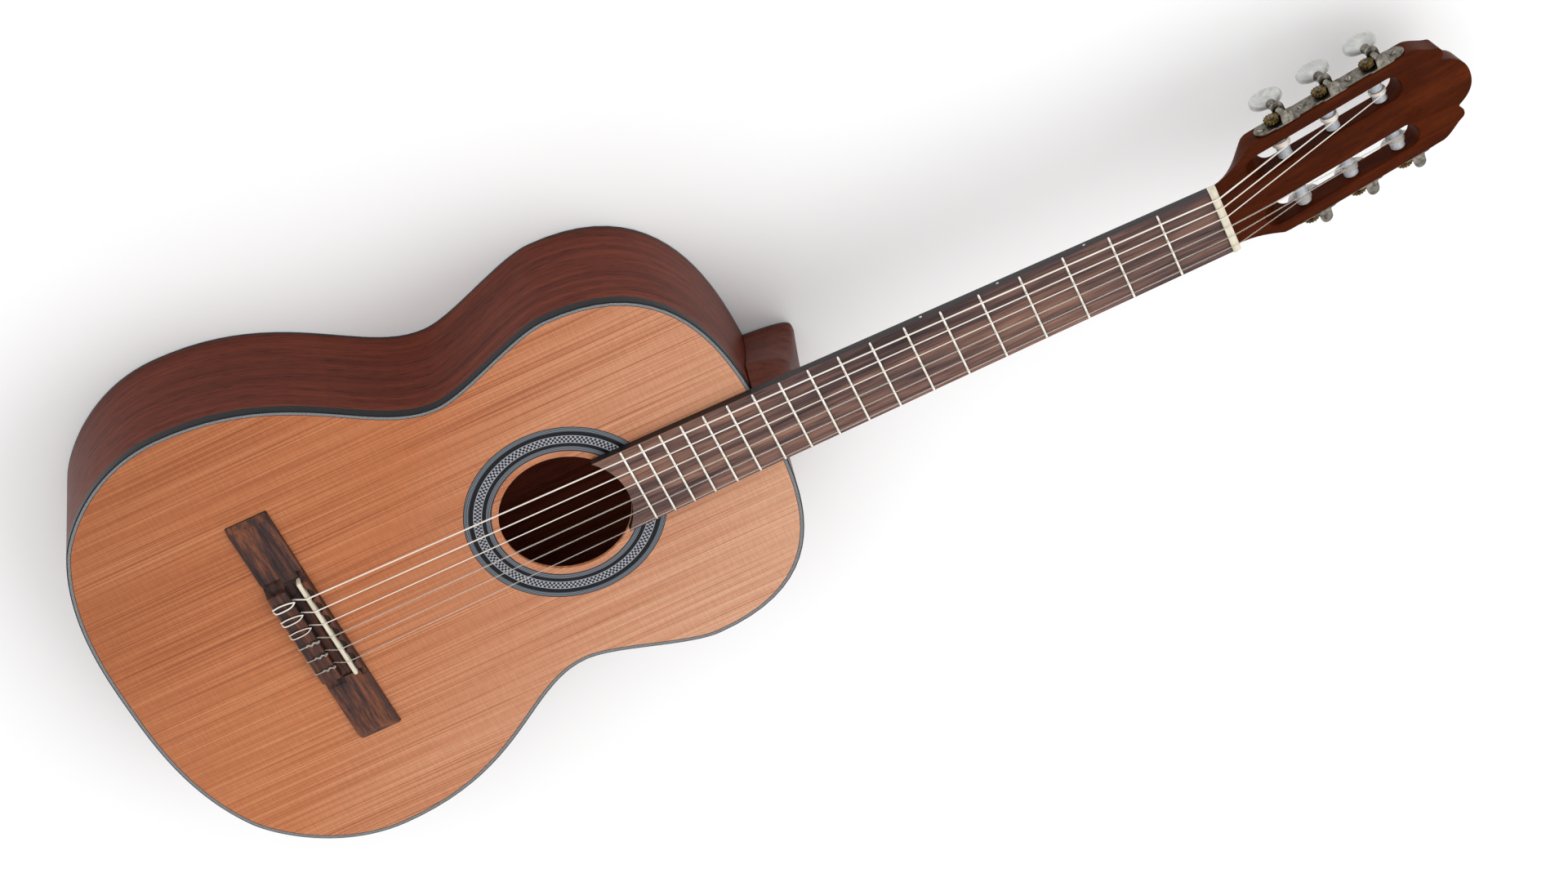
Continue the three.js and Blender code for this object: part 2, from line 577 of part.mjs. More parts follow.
// The worm and its shaft about the middle of the thread, with the button end downwards.
function wormShaft() {
  const thread = new THREE.CylinderGeometry(WORM_RADIUS, WORM_RADIUS, THREAD_LENGTH, 8, THREAD_STEPS);
  thread.rotateX(Math.PI / 2);
  reshape(thread, (point) => {
    const angle = Math.PI / 2 + (2 * Math.PI * point.z) / THREAD_LEAD;
    point.x += THREAD_OFFSET * Math.cos(angle);
    point.y += THREAD_OFFSET * Math.sin(angle);
  });
  const halfPlate = (PLATE.front - PLATE.back) / 2;
  const insideEar = halfPlate - EAR.thickness - BORE_CLEARANCE;
  const core = WORM_RADIUS - THREAD_OFFSET - CORE_INSET;
  const buttonTop = ROLLER_DEPTH - BUTTON.depth + BUTTON.halfShort;
  const shaftEnd = buttonTop - BUTTON.bore;
  const profile = [
    [0, shaftEnd], [WORM_SHAFT_RADIUS, shaftEnd], [WORM_SHAFT_RADIUS, -halfPlate - 5],
    [COLLAR_RADIUS, -halfPlate - 4], [COLLAR_RADIUS, -halfPlate - 1],
    [WORM_SHAFT_RADIUS, -halfPlate - 1], [WORM_SHAFT_RADIUS, -insideEar], [core, -insideEar],
    [core, insideEar], [FRONT_JOURNAL_RADIUS, insideEar], [FRONT_JOURNAL_RADIUS, halfPlate - GAP],
    [0, halfPlate - GAP],
  ].map(([radius, z]) => new THREE.Vector2(radius, z));
  const shaft = new THREE.LatheGeometry(profile, 8).rotateX(Math.PI / 2);
  return toGeometry(join([thread, shaft]));
}

// An oval finger button about its own centre, with a hole for the shaft in its upper edge.
function button() {
  const { halfLong, halfShort, thickness, bevel, bore } = BUTTON;
  const oval = new THREE.Shape();
  oval.absellipse(0, 0, halfLong, halfShort, 0, 2 * Math.PI, false);
  const settings = {
    depth: thickness - 2 * bevel, bevelThickness: bevel, bevelSize: bevel, bevelOffset: -bevel,
    bevelSegments: 1, curveSegments: 8,
  };
  const body = new THREE.ExtrudeGeometry(oval, settings).translate(0, 0, bevel - thickness / 2);
  const hole = pinAlongZ(WORM_SHAFT_RADIUS + GAP, [halfShort - bore - GAP, halfShort + 1], 0, 0, 8);
  return cut(toSolid(layAcross(body)), [hole]);
}

// Which side and which place along the headstock each string's machine has.
function machineOf(string) {
  const side = string <= 3 ? 1 : -1;
  const place = string <= 3 ? string - 1 : 6 - string;
  return { side, place, s: MACHINE_S[place] };
}

function buildMachines() {
  addPiece(head, 'headstock', headstock(), darkMahogany);
  addPiece(head, 'tuner_plate_bass', tunerPlate(-1), nickel);
  addPiece(head, 'tuner_plate_treble', tunerPlate(1), nickel);
  for (let string = 1; string <= 6; string += 1) {
    const { side, s } = machineOf(string);
    const wormS = s + CENTRE_DISTANCE;
    addPiece(head, `roller_${string}`, roller(side), whitePlastic).position.set(0, s, -ROLLER_DEPTH);
    addPiece(head, `gear_${string}`, gear(side), brass).position.set(side * GEAR_X, s, -ROLLER_DEPTH);
    const worm = addPiece(head, `worm_shaft_${string}`, wormShaft(), nickel);
    worm.position.set(side * GEAR_X, wormS, -ROLLER_DEPTH);
    const knob = addPiece(head, `button_${string}`, button(), pearl);
    knob.position.set(side * GEAR_X, wormS, -BUTTON.depth);
  }
}

// ---- Bridge and saddle --------------------------------------------------------------------------

function bridge() {
  const { half, front, back, wing, block: tall } = BRIDGE;
  const slotHalf = SADDLE.thickness / 2 + GAP;
  const slotFloor = SADDLE.foot - GAP;
  const trough = slotFloor + 0.3;
  const middle = barAcross([
    [front, 0], [front, 5.5], [front - 2, 8], [SADDLE.at + slotHalf, 8], [SADDLE.at + slotHalf, slotFloor],
    [SADDLE.at - slotHalf, slotFloor], [SADDLE.at - slotHalf, 6.8], [SADDLE.at - slotHalf - 3, trough],
    [TIE_FACE, trough], [TIE_FACE, tall], [back + 1.3, tall], [back, tall - 1], [back, 0],
  ], -BLOCK_HALF, BLOCK_HALF);
  const wingStart = SADDLE.half + 0.5;
  const wings = [-1, 1].map((side) => block(ordered(side, wingStart, half), [back, front], [0, wing]));
  const holes = stringPlaces(SPACING_AT_SADDLE).map((x) => {
    const hole = new THREE.CylinderGeometry(TIE_HOLE_RADIUS, TIE_HOLE_RADIUS, TIE_FACE - back + 2, 8);
    return hole.translate(x, (TIE_FACE + back) / 2, TIE_HOLE_HEIGHT);
  });
  return cut(join([middle, ...wings]), holes);
}

function saddle() {
  const { half, thickness, top, foot } = SADDLE;
  const side = thickness / 2;
  const outline = [[-side, foot], [side, foot], [side, top - 0.8], [0.6, top], [-0.6, top], [-side, top - 1]];
  return barAcross(outline, -half, half).translate(0, SADDLE.at, 0);
}

// The places of the strings across the guitar, from the first string to the sixth.
function stringPlaces(spacing) {
  return STRING_RADII.map((radius, index) => (2.5 - index) * spacing);
}

function buildBridge() {
  addPiece(guitar, 'bridge', bridge(), rosewood).position.set(0, NUT_Y, BODY_DEPTH);
  addPiece(guitar, 'saddle', saddle(), bone).position.set(0, NUT_Y, BODY_DEPTH);
}

// ---- Strings ------------------------------------------------------------------------------------

// A taut route through given points, with one section of the tube at each of them.
class TautRoute extends THREE.Curve {
  constructor(points) {
    super();
    this.points = points;
  }

  getUtoTmapping(share) {
    return share;
  }

  getPoint(share) {
    const place = share * (this.points.length - 1);
    const index = Math.min(Math.floor(place), this.points.length - 2);
    return this.points[index].clone().lerp(this.points[index + 1], place - index);
  }

  // Across a corner the tube's section lies halfway between the two directions.
  getTangent(share) {
    const place = Math.round(share * (this.points.length - 1));
    const here = this.points[place];
    const before = this.points[Math.max(place - 1, 0)];
    const after = this.points[Math.min(place + 1, this.points.length - 1)];
    const arriving = here.clone().sub(before).normalize();
    return arriving.add(after.clone().sub(here).normalize()).normalize();
  }
}

function stringRoute(string) {
  const radius = STRING_RADII[string - 1];
  const atSaddle = stringPlaces(SPACING_AT_SADDLE)[string - 1];
  const atNut = stringPlaces(SPACING_AT_NUT)[string - 1];
  const { side, place, s } = machineOf(string);
  const crest = SADDLE.top + GAP + radius;
  const overNut = NUT_HEIGHT + GAP + radius;
  const onRoller = -ROLLER_DEPTH + ROLLER_RADIUS + GAP + radius;
  const points = [
    [atSaddle, TIE_FACE - 3, TIE_HOLE_HEIGHT], [atSaddle, TIE_FACE + 0.8, TIE_HOLE_HEIGHT],
    [atSaddle, SADDLE.at - 0.6, crest], [atSaddle, SADDLE.at + 0.6, crest],
    [atNut, 0.6, overNut], [atNut, NUT_LENGTH - 0.6, overNut],
  ].map(([x, fromNut, height]) => new THREE.Vector3(x, fromNut + NUT_Y, height + BODY_DEPTH));
  const landing = new THREE.Vector3(side * ROLLER_LANDING[place], s, onRoller);
  return new TautRoute([...points, landing.applyMatrix4(head.matrix)]);
}

function buildStrings() {
  for (let string = 1; string <= 6; string += 1) {
    const route = stringRoute(string);
    const section = new THREE.Shape();
    section.absarc(0, 0, STRING_RADII[string - 1], 0, 2 * Math.PI, false);
    const settings = { steps: route.points.length - 1, extrudePath: route, curveSegments: 4 };
    const geometry = new THREE.ExtrudeGeometry(section, settings);
    addPiece(guitar, `string_${string}`, geometry, string <= 3 ? nylon : woundString);
  }
}

// ---- Assembly -----------------------------------------------------------------------------------

head.updateMatrix();
buildBody();
buildBraces();
buildNeck();
buildMachines();
buildBridge();
buildStrings();

export default guitar;
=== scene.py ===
# A classical guitar with six nylon strings and a slotted headstock, drawn around its CAD frame.
#
# Lengths are millimetres in the guitar's own measures: x runs from the bass side (-) to the treble
# side (+), y is measured from the front edge of the nut towards the head, and z from the face of
# the soundboard. place() and on_head() turn such points into the frame's metres.

import json
import math

import bmesh
import bpy
from mathutils import Matrix, Vector


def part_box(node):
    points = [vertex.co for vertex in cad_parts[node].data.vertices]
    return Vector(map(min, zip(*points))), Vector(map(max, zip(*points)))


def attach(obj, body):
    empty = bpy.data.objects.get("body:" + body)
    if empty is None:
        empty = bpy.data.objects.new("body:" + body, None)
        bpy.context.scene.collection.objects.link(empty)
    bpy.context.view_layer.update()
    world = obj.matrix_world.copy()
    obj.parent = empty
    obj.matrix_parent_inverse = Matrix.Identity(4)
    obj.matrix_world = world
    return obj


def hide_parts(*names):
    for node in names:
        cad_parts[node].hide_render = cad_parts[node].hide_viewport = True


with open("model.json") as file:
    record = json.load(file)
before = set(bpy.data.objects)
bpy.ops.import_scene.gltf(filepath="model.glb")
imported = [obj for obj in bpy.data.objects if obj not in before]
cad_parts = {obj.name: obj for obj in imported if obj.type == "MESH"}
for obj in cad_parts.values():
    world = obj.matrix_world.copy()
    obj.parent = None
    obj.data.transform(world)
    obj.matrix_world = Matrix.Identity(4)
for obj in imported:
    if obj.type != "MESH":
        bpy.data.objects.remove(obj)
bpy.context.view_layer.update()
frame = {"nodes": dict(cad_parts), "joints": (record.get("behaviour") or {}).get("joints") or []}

# ---- Dimensions ----

MM = 0.001
GAP = 0.3  # the clearance that the frame keeps between neighbours
NUT_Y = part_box("nut")[0].y / MM
TOP_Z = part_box("soundboard")[1].z / MM
JOINTS = {joint["name"]: joint for joint in frame["joints"]}
HEAD_NORMAL = Vector(JOINTS["key_turn_1"]["axis"])
HEAD_TILT = math.atan2(HEAD_NORMAL.y, HEAD_NORMAL.z)
ALONG_HEAD = Vector((0, math.cos(HEAD_TILT), -math.sin(HEAD_TILT)))

# Body outline, as (half width, place)
BODY_END = -324
TAIL = -800.8
LOWER_BOUT = (181.5, -682)
WAIST = (116.5, -512)
UPPER_BOUT = (142, -422.5)
TAIL_CORNER = (128, -775.8)
OUTLINE_STEPS = 22

BODY_DEPTH = 100
TOP_THICKNESS = 2.5
BACK_THICKNESS = 2.7
SIDE_THICKNESS = 2.2
BINDING_WIDTH = 2.4
TOP_BINDING_HEIGHT = 7
BACK_BINDING_HEIGHT = 3
PURFLING = (0.8, 2.7)  # outer and inner inset of the grey strip on the top
PURFLING_LINE = 0.35
PURFLING_DEPTH = 1.5
BACK_STRIP_HALF = 2.6

HOLE_AT = -473.4
HOLE_RADIUS = 44.6
# Rosette bands from the outside in: outer radius and finish
ROSETTE_BANDS = [
    (68.2, "binding"), (67.6, "rosette_lines"), (64.5, "binding"), (61.5, "rosette_mosaic"),
    (55.7, "binding"), (52.9, "rosette_lines"), (49.8, "binding"), (49.3, None),
]
ROSETTE_SIDES = 240
ROSETTE_PROUD = 0.03
VENEER_PITCH = 1.05
MOSAIC = {"middle": 58.6, "row": 1.6, "border": 2.5, "tiles": 126, "tile_edge": -0.05}

SCALE_LENGTH = 650
FRETS = 18
NUT_WIDTH = 50
NUT_LENGTH = 5.6
NUT_HEIGHT = 8.3
WIDTH_TAPER = 8 / SCALE_LENGTH
BOARD_THICKNESS = 6.4
BOARD_REACH = 33  # from the middle of the soundhole to the corners of the board's end
BOARD_ROUNDING = 0.5
FRET = {
    "crown": 1.05, "half": 1.0, "end_crown": 0.25, "end_half": 0.55, "short": 0.15, "sunk": 0.05,
}
SIDE_DOT_SPACES = (3, 5, 7)

NECK_DEPTH_AT_NUT = 15.5
NECK_DEPTH_AT_BODY = 17.2
NECK_POWER = 2.8  # the back of the neck is a curve 1 - |x| ** NECK_POWER
NECK_JOINT = BODY_END + GAP
HEEL_FROM = -272
HEEL_BEND_FOOT = -34
# The heel's section: half width, reach from the body, and power of its curve
HEEL_FOOT = {"half": 10.6, "reach": 33, "power": 3.8}
HEEL_TOP = {"half": 28.6, "reach": 27.5, "power": 4.2}
HEEL_CAP = (-95.5, -92.8)

HEAD_LIFT = 2
HEAD_START = 6.1
HEAD_THICKNESS = 18
HEAD_DEPTH_AT_NUT = 16.4
HEAD_LENGTH = 193
HEAD_HALF = 36.5
SHOULDER = 42
SLOT = {"centre": 19.5, "half": 8.5, "face": 28, "back": 44, "round_at": 138}

PLATE = {
    "inside": 36.8, "outside": 38, "from": 45, "to": 158.5, "middle": -8.5, "half": 6.4, "bevel": 0.3,
}
LOBE = {"half": 7.5, "end": 9.5, "bead_at": 9, "bead_half": 1.2, "bead_height": 0.5}
PLATE_SCREWS = (50, 80.5, 117, 151)
SCREW_RADIUS = 2.3
GEAR_SCREW_RADIUS = 2.1
EAR = {"half": 4.3, "thickness": 1.4, "reach": 8.6, "half_span": 7.5, "shift": 0.7, "bevel": 0.25}
ROLLER_RADIUS = 5
SHAFT_RADIUS = 3.4
PIVOT = {"radius": 2.6, "length": 5}
CENTRE_DISTANCE = 7.6  # between the axes of a gear and its worm
TEETH = 14
WORM_RADIUS = 2.25  # of a round core, which makes the thread by winding round the axis
THREAD_OFFSET = 0.5  # of that core's middle from the axis
THREAD_LENGTH = 8.4
THREAD_LEAD = 2 * math.pi * (CENTRE_DISTANCE - WORM_RADIUS) / TEETH
GEAR_HALF_WIDTH = 1.4
BOSS = {"radius": 3, "height": 0.5}
TOOTH = {"root_half": 0.82, "tip_half": 0.25, "tip_clearance": 0.35, "root_clearance": 0.25}
WORM_SHAFT = {"radius": 1.9, "journal": 1.5, "in_button": 4.7}
EAR_CLEARANCE = 0.4  # between an ear and the worm's thick middle
BUTTON = {"half_long": 12, "half_short": 9, "half_thick": 4.25, "rounding": 3.4, "below": 24.5}
BUTTON_TOP = BUTTON["half_short"] - BUTTON["below"]  # from the worm's middle, along its axis

BRIDGE = {
    "half": 99, "front": -645, "back": -675.3, "block_half": 44, "lip": 7.9, "block": 9,
    "scoop_at": 45.2, "scoop_radius": 4.6, "scoop_floor": 2.4,
    "tip": 1.4, "wing": 4.3, "tip_run": 5.5, "dish": 0.6,
}
LIP_ARCH = {"half": 4.4, "reach": 3.4, "depth": 2.2}  # the hollow in the lip under each string
NOTCH = {"half": 1.7, "depth": 2.4}  # the cut in the tie block's edge for each string
SADDLE = {
    "half": 42.7, "at": -651, "half_thick": 1.4, "top": 10.4, "foot": 3.2, "rounding": 0.9,
    "end_run": 1.2,
}
TIE_FACE = -661.5
TIE_HOLE_HEIGHT = 5
TIE_HOLE_RADIUS = 0.9

STRINGS = range(1, 7)  # from the first, on the treble side, to the sixth
TREBLES = range(1, 4)
MIDDLE_STRING = 3.5
STRING_RADII = [0.36, 0.41, 0.51, 0.38, 0.46, 0.55]
WIRE_PITCH = 0.32  # of the silver wire on a wound string
SPACING_AT_SADDLE = 11.9
SPACING_AT_NUT = 7.7
ROLLER_LANDING = [21, 19, 17.5]  # across the head, the pair of rollers nearest to the nut first
STRING_LIFT = 0.3  # clearance of a string over what it rests on
WINDING = {"treble_turns": 4.25, "bass_turns": 3.25, "pitch": 2.15, "steps": 26}  # pitch in radii


def place(x, y, z):
    """A point of the guitar, in the frame's metres."""
    return Vector((x, y + NUT_Y, z + TOP_Z)) * MM


def head_point(s, z):
    """The (y, z) of a point of the headstock: s along its face from the nut, z out of the face."""
    y = s * math.cos(HEAD_TILT) + z * math.sin(HEAD_TILT)
    return y, HEAD_LIFT - s * math.sin(HEAD_TILT) + z * math.cos(HEAD_TILT)


def on_head(x, s, z):
    """A point of the headstock, in the frame's metres."""
    return place(x, *head_point(s, z))


def mix(a, b, share):
    """The value at a share of the way from a to b."""
    return a + (b - a) * share


def smooth_step(low, high, value):
    """0 at low and 1 at high, with a smooth bend at each; low may be the larger."""
    share = min(max((value - low) / (high - low), 0), 1)
    return share * share * (3 - 2 * share)


def spread(low, high, count):
    """Evenly spaced values, both ends included."""
    return [mix(low, high, i / (count - 1)) for i in range(count)]


def board_half(y):
    """Half the fingerboard's width, which grows from the nut to the body."""
    return NUT_WIDTH / 2 - WIDTH_TAPER * y


def fret_place(number):
    """A fret's place on the neck, by the equal-tempered rule."""
    return -SCALE_LENGTH * (1 - 2 ** (-number / 12))


# ---- Camera ----


CAMERA = {
    "lens": 84.165, "at": (-1328.1, -81.6, 2015.6),
    "right": (0.3919, 0.9070, 0.1541), "forward": (0.55307, -0.09842, -0.8273),
}


def add_object(name, data):
    made = bpy.data.objects.new(name, data)
    bpy.context.scene.collection.objects.link(made)
    return made


def make_camera():
    camera_data = bpy.data.cameras.new("camera")
    camera_data.sensor_width = 36
    camera_data.lens = CAMERA["lens"]
    camera_data.clip_end = 50
    camera = add_object("camera", camera_data)
    right = Vector(CAMERA["right"]).normalized()
    up = right.cross(Vector(CAMERA["forward"]).normalized())
    forward = up.cross(right)
    axes = Matrix((right, up, -forward)).transposed()
    camera.matrix_world = Matrix.Translation(place(*CAMERA["at"])) @ axes.to_4x4()
    bpy.context.scene.camera = camera


make_camera()

# ---- Materials ----


def rgb(code):
    """The linear colour of an sRGB hex code."""
    parts = [int(code[i:i + 2], 16) / 255 for i in (0, 2, 4)]
    linear = [p / 12.92 if p <= 0.04045 else ((p + 0.055) / 1.055) ** 2.4 for p in parts]
    return (*linear, 1)


FINISHES = {}  # each finished material under its name


class Finish:
    """A material under construction: its node tree and its Principled shader."""

    def __init__(self, name, roughness, metallic=0.0, specular=0.5, coat=0.0, coat_roughness=0.1):
        FINISHES[name] = bpy.data.materials.new(name)
        FINISHES[name].use_nodes = True
        self.tree = FINISHES[name].node_tree
        self.shader = self.tree.nodes["Principled BSDF"]
        self.shader.inputs["Roughness"].default_value = roughness
        self.shader.inputs["Metallic"].default_value = metallic
        self.shader.inputs["Specular IOR Level"].default_value = specular
        self.shader.inputs["Coat Weight"].default_value = coat
        self.shader.inputs["Coat Roughness"].default_value = coat_roughness
        self.place = self.node("ShaderNodeTexCoord").outputs["Object"]

    def node(self, kind, inputs=(), **settings):
        node = self.tree.nodes.new(kind)
        for name, value in settings.items():
            setattr(node, name, value)
        for name, value in dict(inputs).items():
            self.feed(node.inputs[name], value)
        return node

    def feed(self, socket, value):
        if isinstance(value, bpy.types.NodeSocket):
            self.tree.links.new(value, socket)
        else:
            socket.default_value = value

    def noise(self, scale, detail=3.0, roughness=0.5, distortion=0.0):
        """Noise with features per metre along x, y and z, or one number for all three."""
        if isinstance(scale, (int, float)):
            scale = (scale, scale, scale)
        stretched = self.node("ShaderNodeMapping", {"Vector": self.place, "Scale": scale})
        inputs = {
            "Vector": stretched.outputs["Vector"], "Scale": 1.0, "Detail": detail,
            "Roughness": roughness, "Distortion": distortion,
        }
        return self.node("ShaderNodeTexNoise", inputs).outputs["Fac"]

    def sum(self, *parts):
        return self.fold("ADD", parts)

    def product(self, *parts):
        return self.fold("MULTIPLY", parts)

    def fold(self, operation, parts):
        total = parts[0]
        for part in parts[1:]:
            total = self.math(operation, total, part)
        return total

    def math(self, operation, a, b=0.0, c=0.0):
        return self.node("ShaderNodeMath", {0: a, 1: b, 2: c}, operation=operation).outputs[0]

    def ramp(self, factor, stops, interpolation="LINEAR"):
        node = self.node("ShaderNodeValToRGB", {"Fac": factor})
        ramp = node.color_ramp
        ramp.interpolation = interpolation
        while len(ramp.elements) < len(stops):
            ramp.elements.new(0.5)
        for element, (position, colour) in zip(ramp.elements, stops):
            element.position = position
            element.color = rgb(colour) if isinstance(colour, str) else (colour, colour, colour, 1)
        return node.outputs["Color"]

    def blend(self, factor, a, b, mode="MIX"):
        node = self.node("ShaderNodeMix", data_type="RGBA", blend_type=mode)
        self.feed(node.inputs[0], factor)
        self.feed(node.inputs[6], rgb(a) if isinstance(a, str) else a)
        self.feed(node.inputs[7], rgb(b) if isinstance(b, str) else b)
        return node.outputs[2]

    def colour(self, value):
        self.feed(self.shader.inputs["Base Color"], rgb(value) if isinstance(value, str) else value)

    def roughen(self, factor, low, high):
        inputs = {"Value": factor, "To Min": low, "To Max": high}
        self.feed(self.shader.inputs["Roughness"], self.node("ShaderNodeMapRange", inputs).outputs[0])

    def bump(self, height, distance, strength=1.0):
        """Relief: distance is the height in millimetres of a full step."""
        inputs = {"Height": height, "Distance": distance * MM, "Strength": strength}
        self.feed(self.shader.inputs["Normal"], self.node("ShaderNodeBump", inputs).outputs["Normal"])

    def shaded_crevices(self, colour, reach, darkest):
        """The colour, darkened where another surface lies within reach millimetres."""
        occlusion = self.node("ShaderNodeAmbientOcclusion", {"Distance": reach * MM}, samples=4)
        shade = self.ramp(occlusion.outputs["AO"], [(0.3, darkest), (0.95, 1.0)])
        return self.blend(1.0, colour, shade, "MULTIPLY")

    def axis(self, name):
        return self.node("ShaderNodeSeparateXYZ", {0: self.place}).outputs[name]


def cedar():
    """Quarter-sawn cedar: fine, straight grain from tail to neck, with cross silk, a painted sheen
    towards the neck and painted shade towards the tail.
    """
    finish = Finish("cedar", 0.42, specular=0.25, coat=0.1, coat_roughness=0.25)
    tone = finish.noise((7, 2.2, 7), 2)
    rings = finish.noise((900, 4, 60), 3, 0.62)
    broad = finish.noise((210, 2.5, 20), 3, 0.6)
    silk = finish.noise((90, 620, 40), 2)
    grain = finish.sum(
        finish.product(rings, 0.64), finish.product(broad, 0.2), finish.product(tone, 0.16))
    wood = finish.ramp(grain, [(0.36, "8a4624"), (0.45, "ab6238"), (0.53, "b87045"), (0.64, "c8875c")])
    # pale is a lit copy of the wood: painted sheen, blended in towards the neck and the treble side
    pale = finish.ramp(grain, [(0.36, "a97054"), (0.45, "c69070"), (0.53, "cf9e80"), (0.64, "dcb096")])
    light_slant = finish.sum(finish.axis("Y"), finish.product(finish.axis("X"), 0.9), 0.62)
    wood = finish.blend(finish.ramp(light_slant, [(0.3, 0.0), (0.72, 1.0)]), wood, pale)
    # painted shade: the top is darkened towards the tail and the bass side
    painted_tail_shade = finish.ramp(light_slant, [(0.02, "e5dcd0"), (0.26, "ffffff")])
    wood = finish.blend(1.0, wood, painted_tail_shade, "MULTIPLY")
    flecks = finish.ramp(silk, [(0.4, 0.94), (0.62, 1.04)])
    finish.colour(finish.blend(1.0, wood, flecks, "MULTIPLY"))
    finish.roughen(rings, 0.34, 0.46)
    finish.bump(rings, 0.05, 0.35)


def ribboned(finish, tone, grain, pores, stops, pore_depth):
    """Mahogany's ribbon figure with its open pores, and the pores' own relief."""
    ribbon = finish.sum(finish.product(grain, 0.6), finish.product(tone, 0.4))
    wood = finish.ramp(ribbon, list(zip((0.32, 0.5, 0.68), stops)))
    pits = finish.ramp(pores, [(0.33, 1 - pore_depth), (0.44, 1.0)])
    finish.bump(pits, 0.06, 0.5)
    return finish.blend(0.8, wood, pits, "MULTIPLY")


def mahogany(name, stops, along, roughness=0.34, pore_depth=0.7, specular=0.07):
    """Filled mahogany: along gives noise features per metre for the grain, and sets its run."""
    finish = Finish(name, roughness, specular=specular)
    tone = finish.noise(tuple(max(value * 0.12, 2.2) for value in along), 3, 0.6)
    grain = finish.noise(along, 4, 0.62, 0.3)
    pores = finish.noise(tuple(value * 9 for value in along), 2)
    finish.colour(ribboned(finish, tone, grain, pores, stops, pore_depth))
    finish.roughen(pores, roughness + 0.14, roughness - 0.04)


def back_mahogany():
    """The two-piece back: ribboned mahogany with an inlaid strip along the middle."""
    finish = Finish("back_mahogany", 0.34, specular=0.12)
    tone = finish.noise((14, 2.2, 9), 3)
    grain = finish.noise((170, 7, 40), 4, 0.6, 0.4)
    pores = finish.noise((1500, 60, 300), 2)
    halves = ribboned(finish, tone, grain, pores, ("4a1f16", "6a3224", "834332"), 0.65)
    across = finish.math("ABSOLUTE", finish.axis("X"))
    from_middle = finish.product(across, 1 / (BACK_STRIP_HALF * MM))
    veneers = [(0.0, "8d5a35"), (0.42, "d8c39a"), (0.62, "17120f"), (0.85, "d8c39a")]
    strip = finish.ramp(from_middle, veneers, "CONSTANT")
    outside = finish.math("GREATER_THAN", from_middle, 1.0)
    finish.colour(finish.blend(outside, strip, halves))


def rosewood(name, along, stops, roughness):
    """Open-grained rosewood with dark and reddish streaks."""
    finish = Finish(name, roughness, specular=0.2)
    streaks = finish.noise(along, 4, 0.6, 0.6)
    fine = finish.noise(tuple(value * 5 for value in along), 3, 0.6)
    pores = finish.noise(tuple(value * 11 for value in along), 2)
    grain = finish.sum(finish.product(streaks, 0.68), finish.product(fine, 0.32))
    wood = finish.ramp(grain, list(zip((0.34, 0.44, 0.52, 0.62), stops)))
    pits = finish.ramp(pores, [(0.35, 0.45), (0.45, 1.0)])
    timber = finish.blend(0.75, wood, pits, "MULTIPLY")
    finish.colour(finish.shaded_crevices(timber, 7, 0.12))
    finish.roughen(fine, roughness - 0.06, roughness + 0.1)
    finish.bump(pits, 0.07, 0.6)


def spruce():
    """Pale, close-grained spruce, for what is inside."""
    finish = Finish("spruce", 0.6)
    rings = finish.noise((420, 420, 12), 3)
    finish.colour(finish.ramp(rings, [(0.35, "a98353"), (0.5, "c9a878"), (0.65, "dcc195")]))
    finish.bump(rings, 0.05, 0.4)


def plastic(name, dark, light, roughness, specular=0.5, coat=0.0):
    """Moulded or polished plastic with a faint mottle."""
    finish = Finish(name, roughness, specular=specular, coat=coat)
    mottle = finish.noise(900, 3)
    finish.colour(finish.ramp(mottle, [(0.35, dark), (0.65, light)]))
    finish.roughen(mottle, roughness - 0.04, roughness + 0.08)
    finish.bump(mottle, 0.02, 0.25)


def polar(finish):
    """Distance from the middle of the soundhole in millimetres, and the angle round it."""
    hole_y = place(0, HOLE_AT, 0).y
    across = finish.product(finish.axis("X"), 1 / MM)
    along = finish.product(finish.math("SUBTRACT", finish.axis("Y"), hole_y), 1 / MM)
    squares = finish.sum(finish.product(across, across), finish.product(along, along))
    return finish.math("SQRT", squares), finish.math("ARCTAN2", along, across)


def rosette_lines():
    """Grey purfling made of several fine concentric veneers."""
    finish = Finish("rosette_lines", 0.4, specular=0.3)
    radius, _ = polar(finish)
    wave = finish.math("SINE", finish.product(radius, 2 * math.pi / VENEER_PITCH))
    shade = finish.sum(finish.product(wave, 0.5), 0.5)
    veneer = finish.ramp(shade, [(0.2, "272c34"), (0.5, "505762"), (0.8, "7c8189")])
    finish.colour(veneer)
    finish.bump(shade, 0.02, 0.3)


def mosaic():
    """Three staggered rows of black tiles on pale wood, between two pale borders."""
    finish = Finish("rosette_mosaic", 0.4, specular=0.3)
    radius, angle = polar(finish)
    offset = finish.math("SUBTRACT", radius, MOSAIC["middle"])
    along = finish.math("COSINE", finish.product(angle, MOSAIC["tiles"]))
    across = finish.math("COSINE", finish.product(offset, math.pi / MOSAIC["row"]))
    tiling = finish.product(along, across)
    between_tiles = finish.math("LESS_THAN", tiling, MOSAIC["tile_edge"])
    border = finish.math("GREATER_THAN", finish.math("ABSOLUTE", offset), MOSAIC["border"])
    pale = finish.math("MAXIMUM", between_tiles, border)
    wood = finish.ramp(finish.noise(900, 2), [(0.3, "8a8b94"), (0.7, "b4b4bc")])
    finish.colour(finish.blend(pale, rgb("101217"), wood))
    finish.bump(pale, 0.02, 0.3)


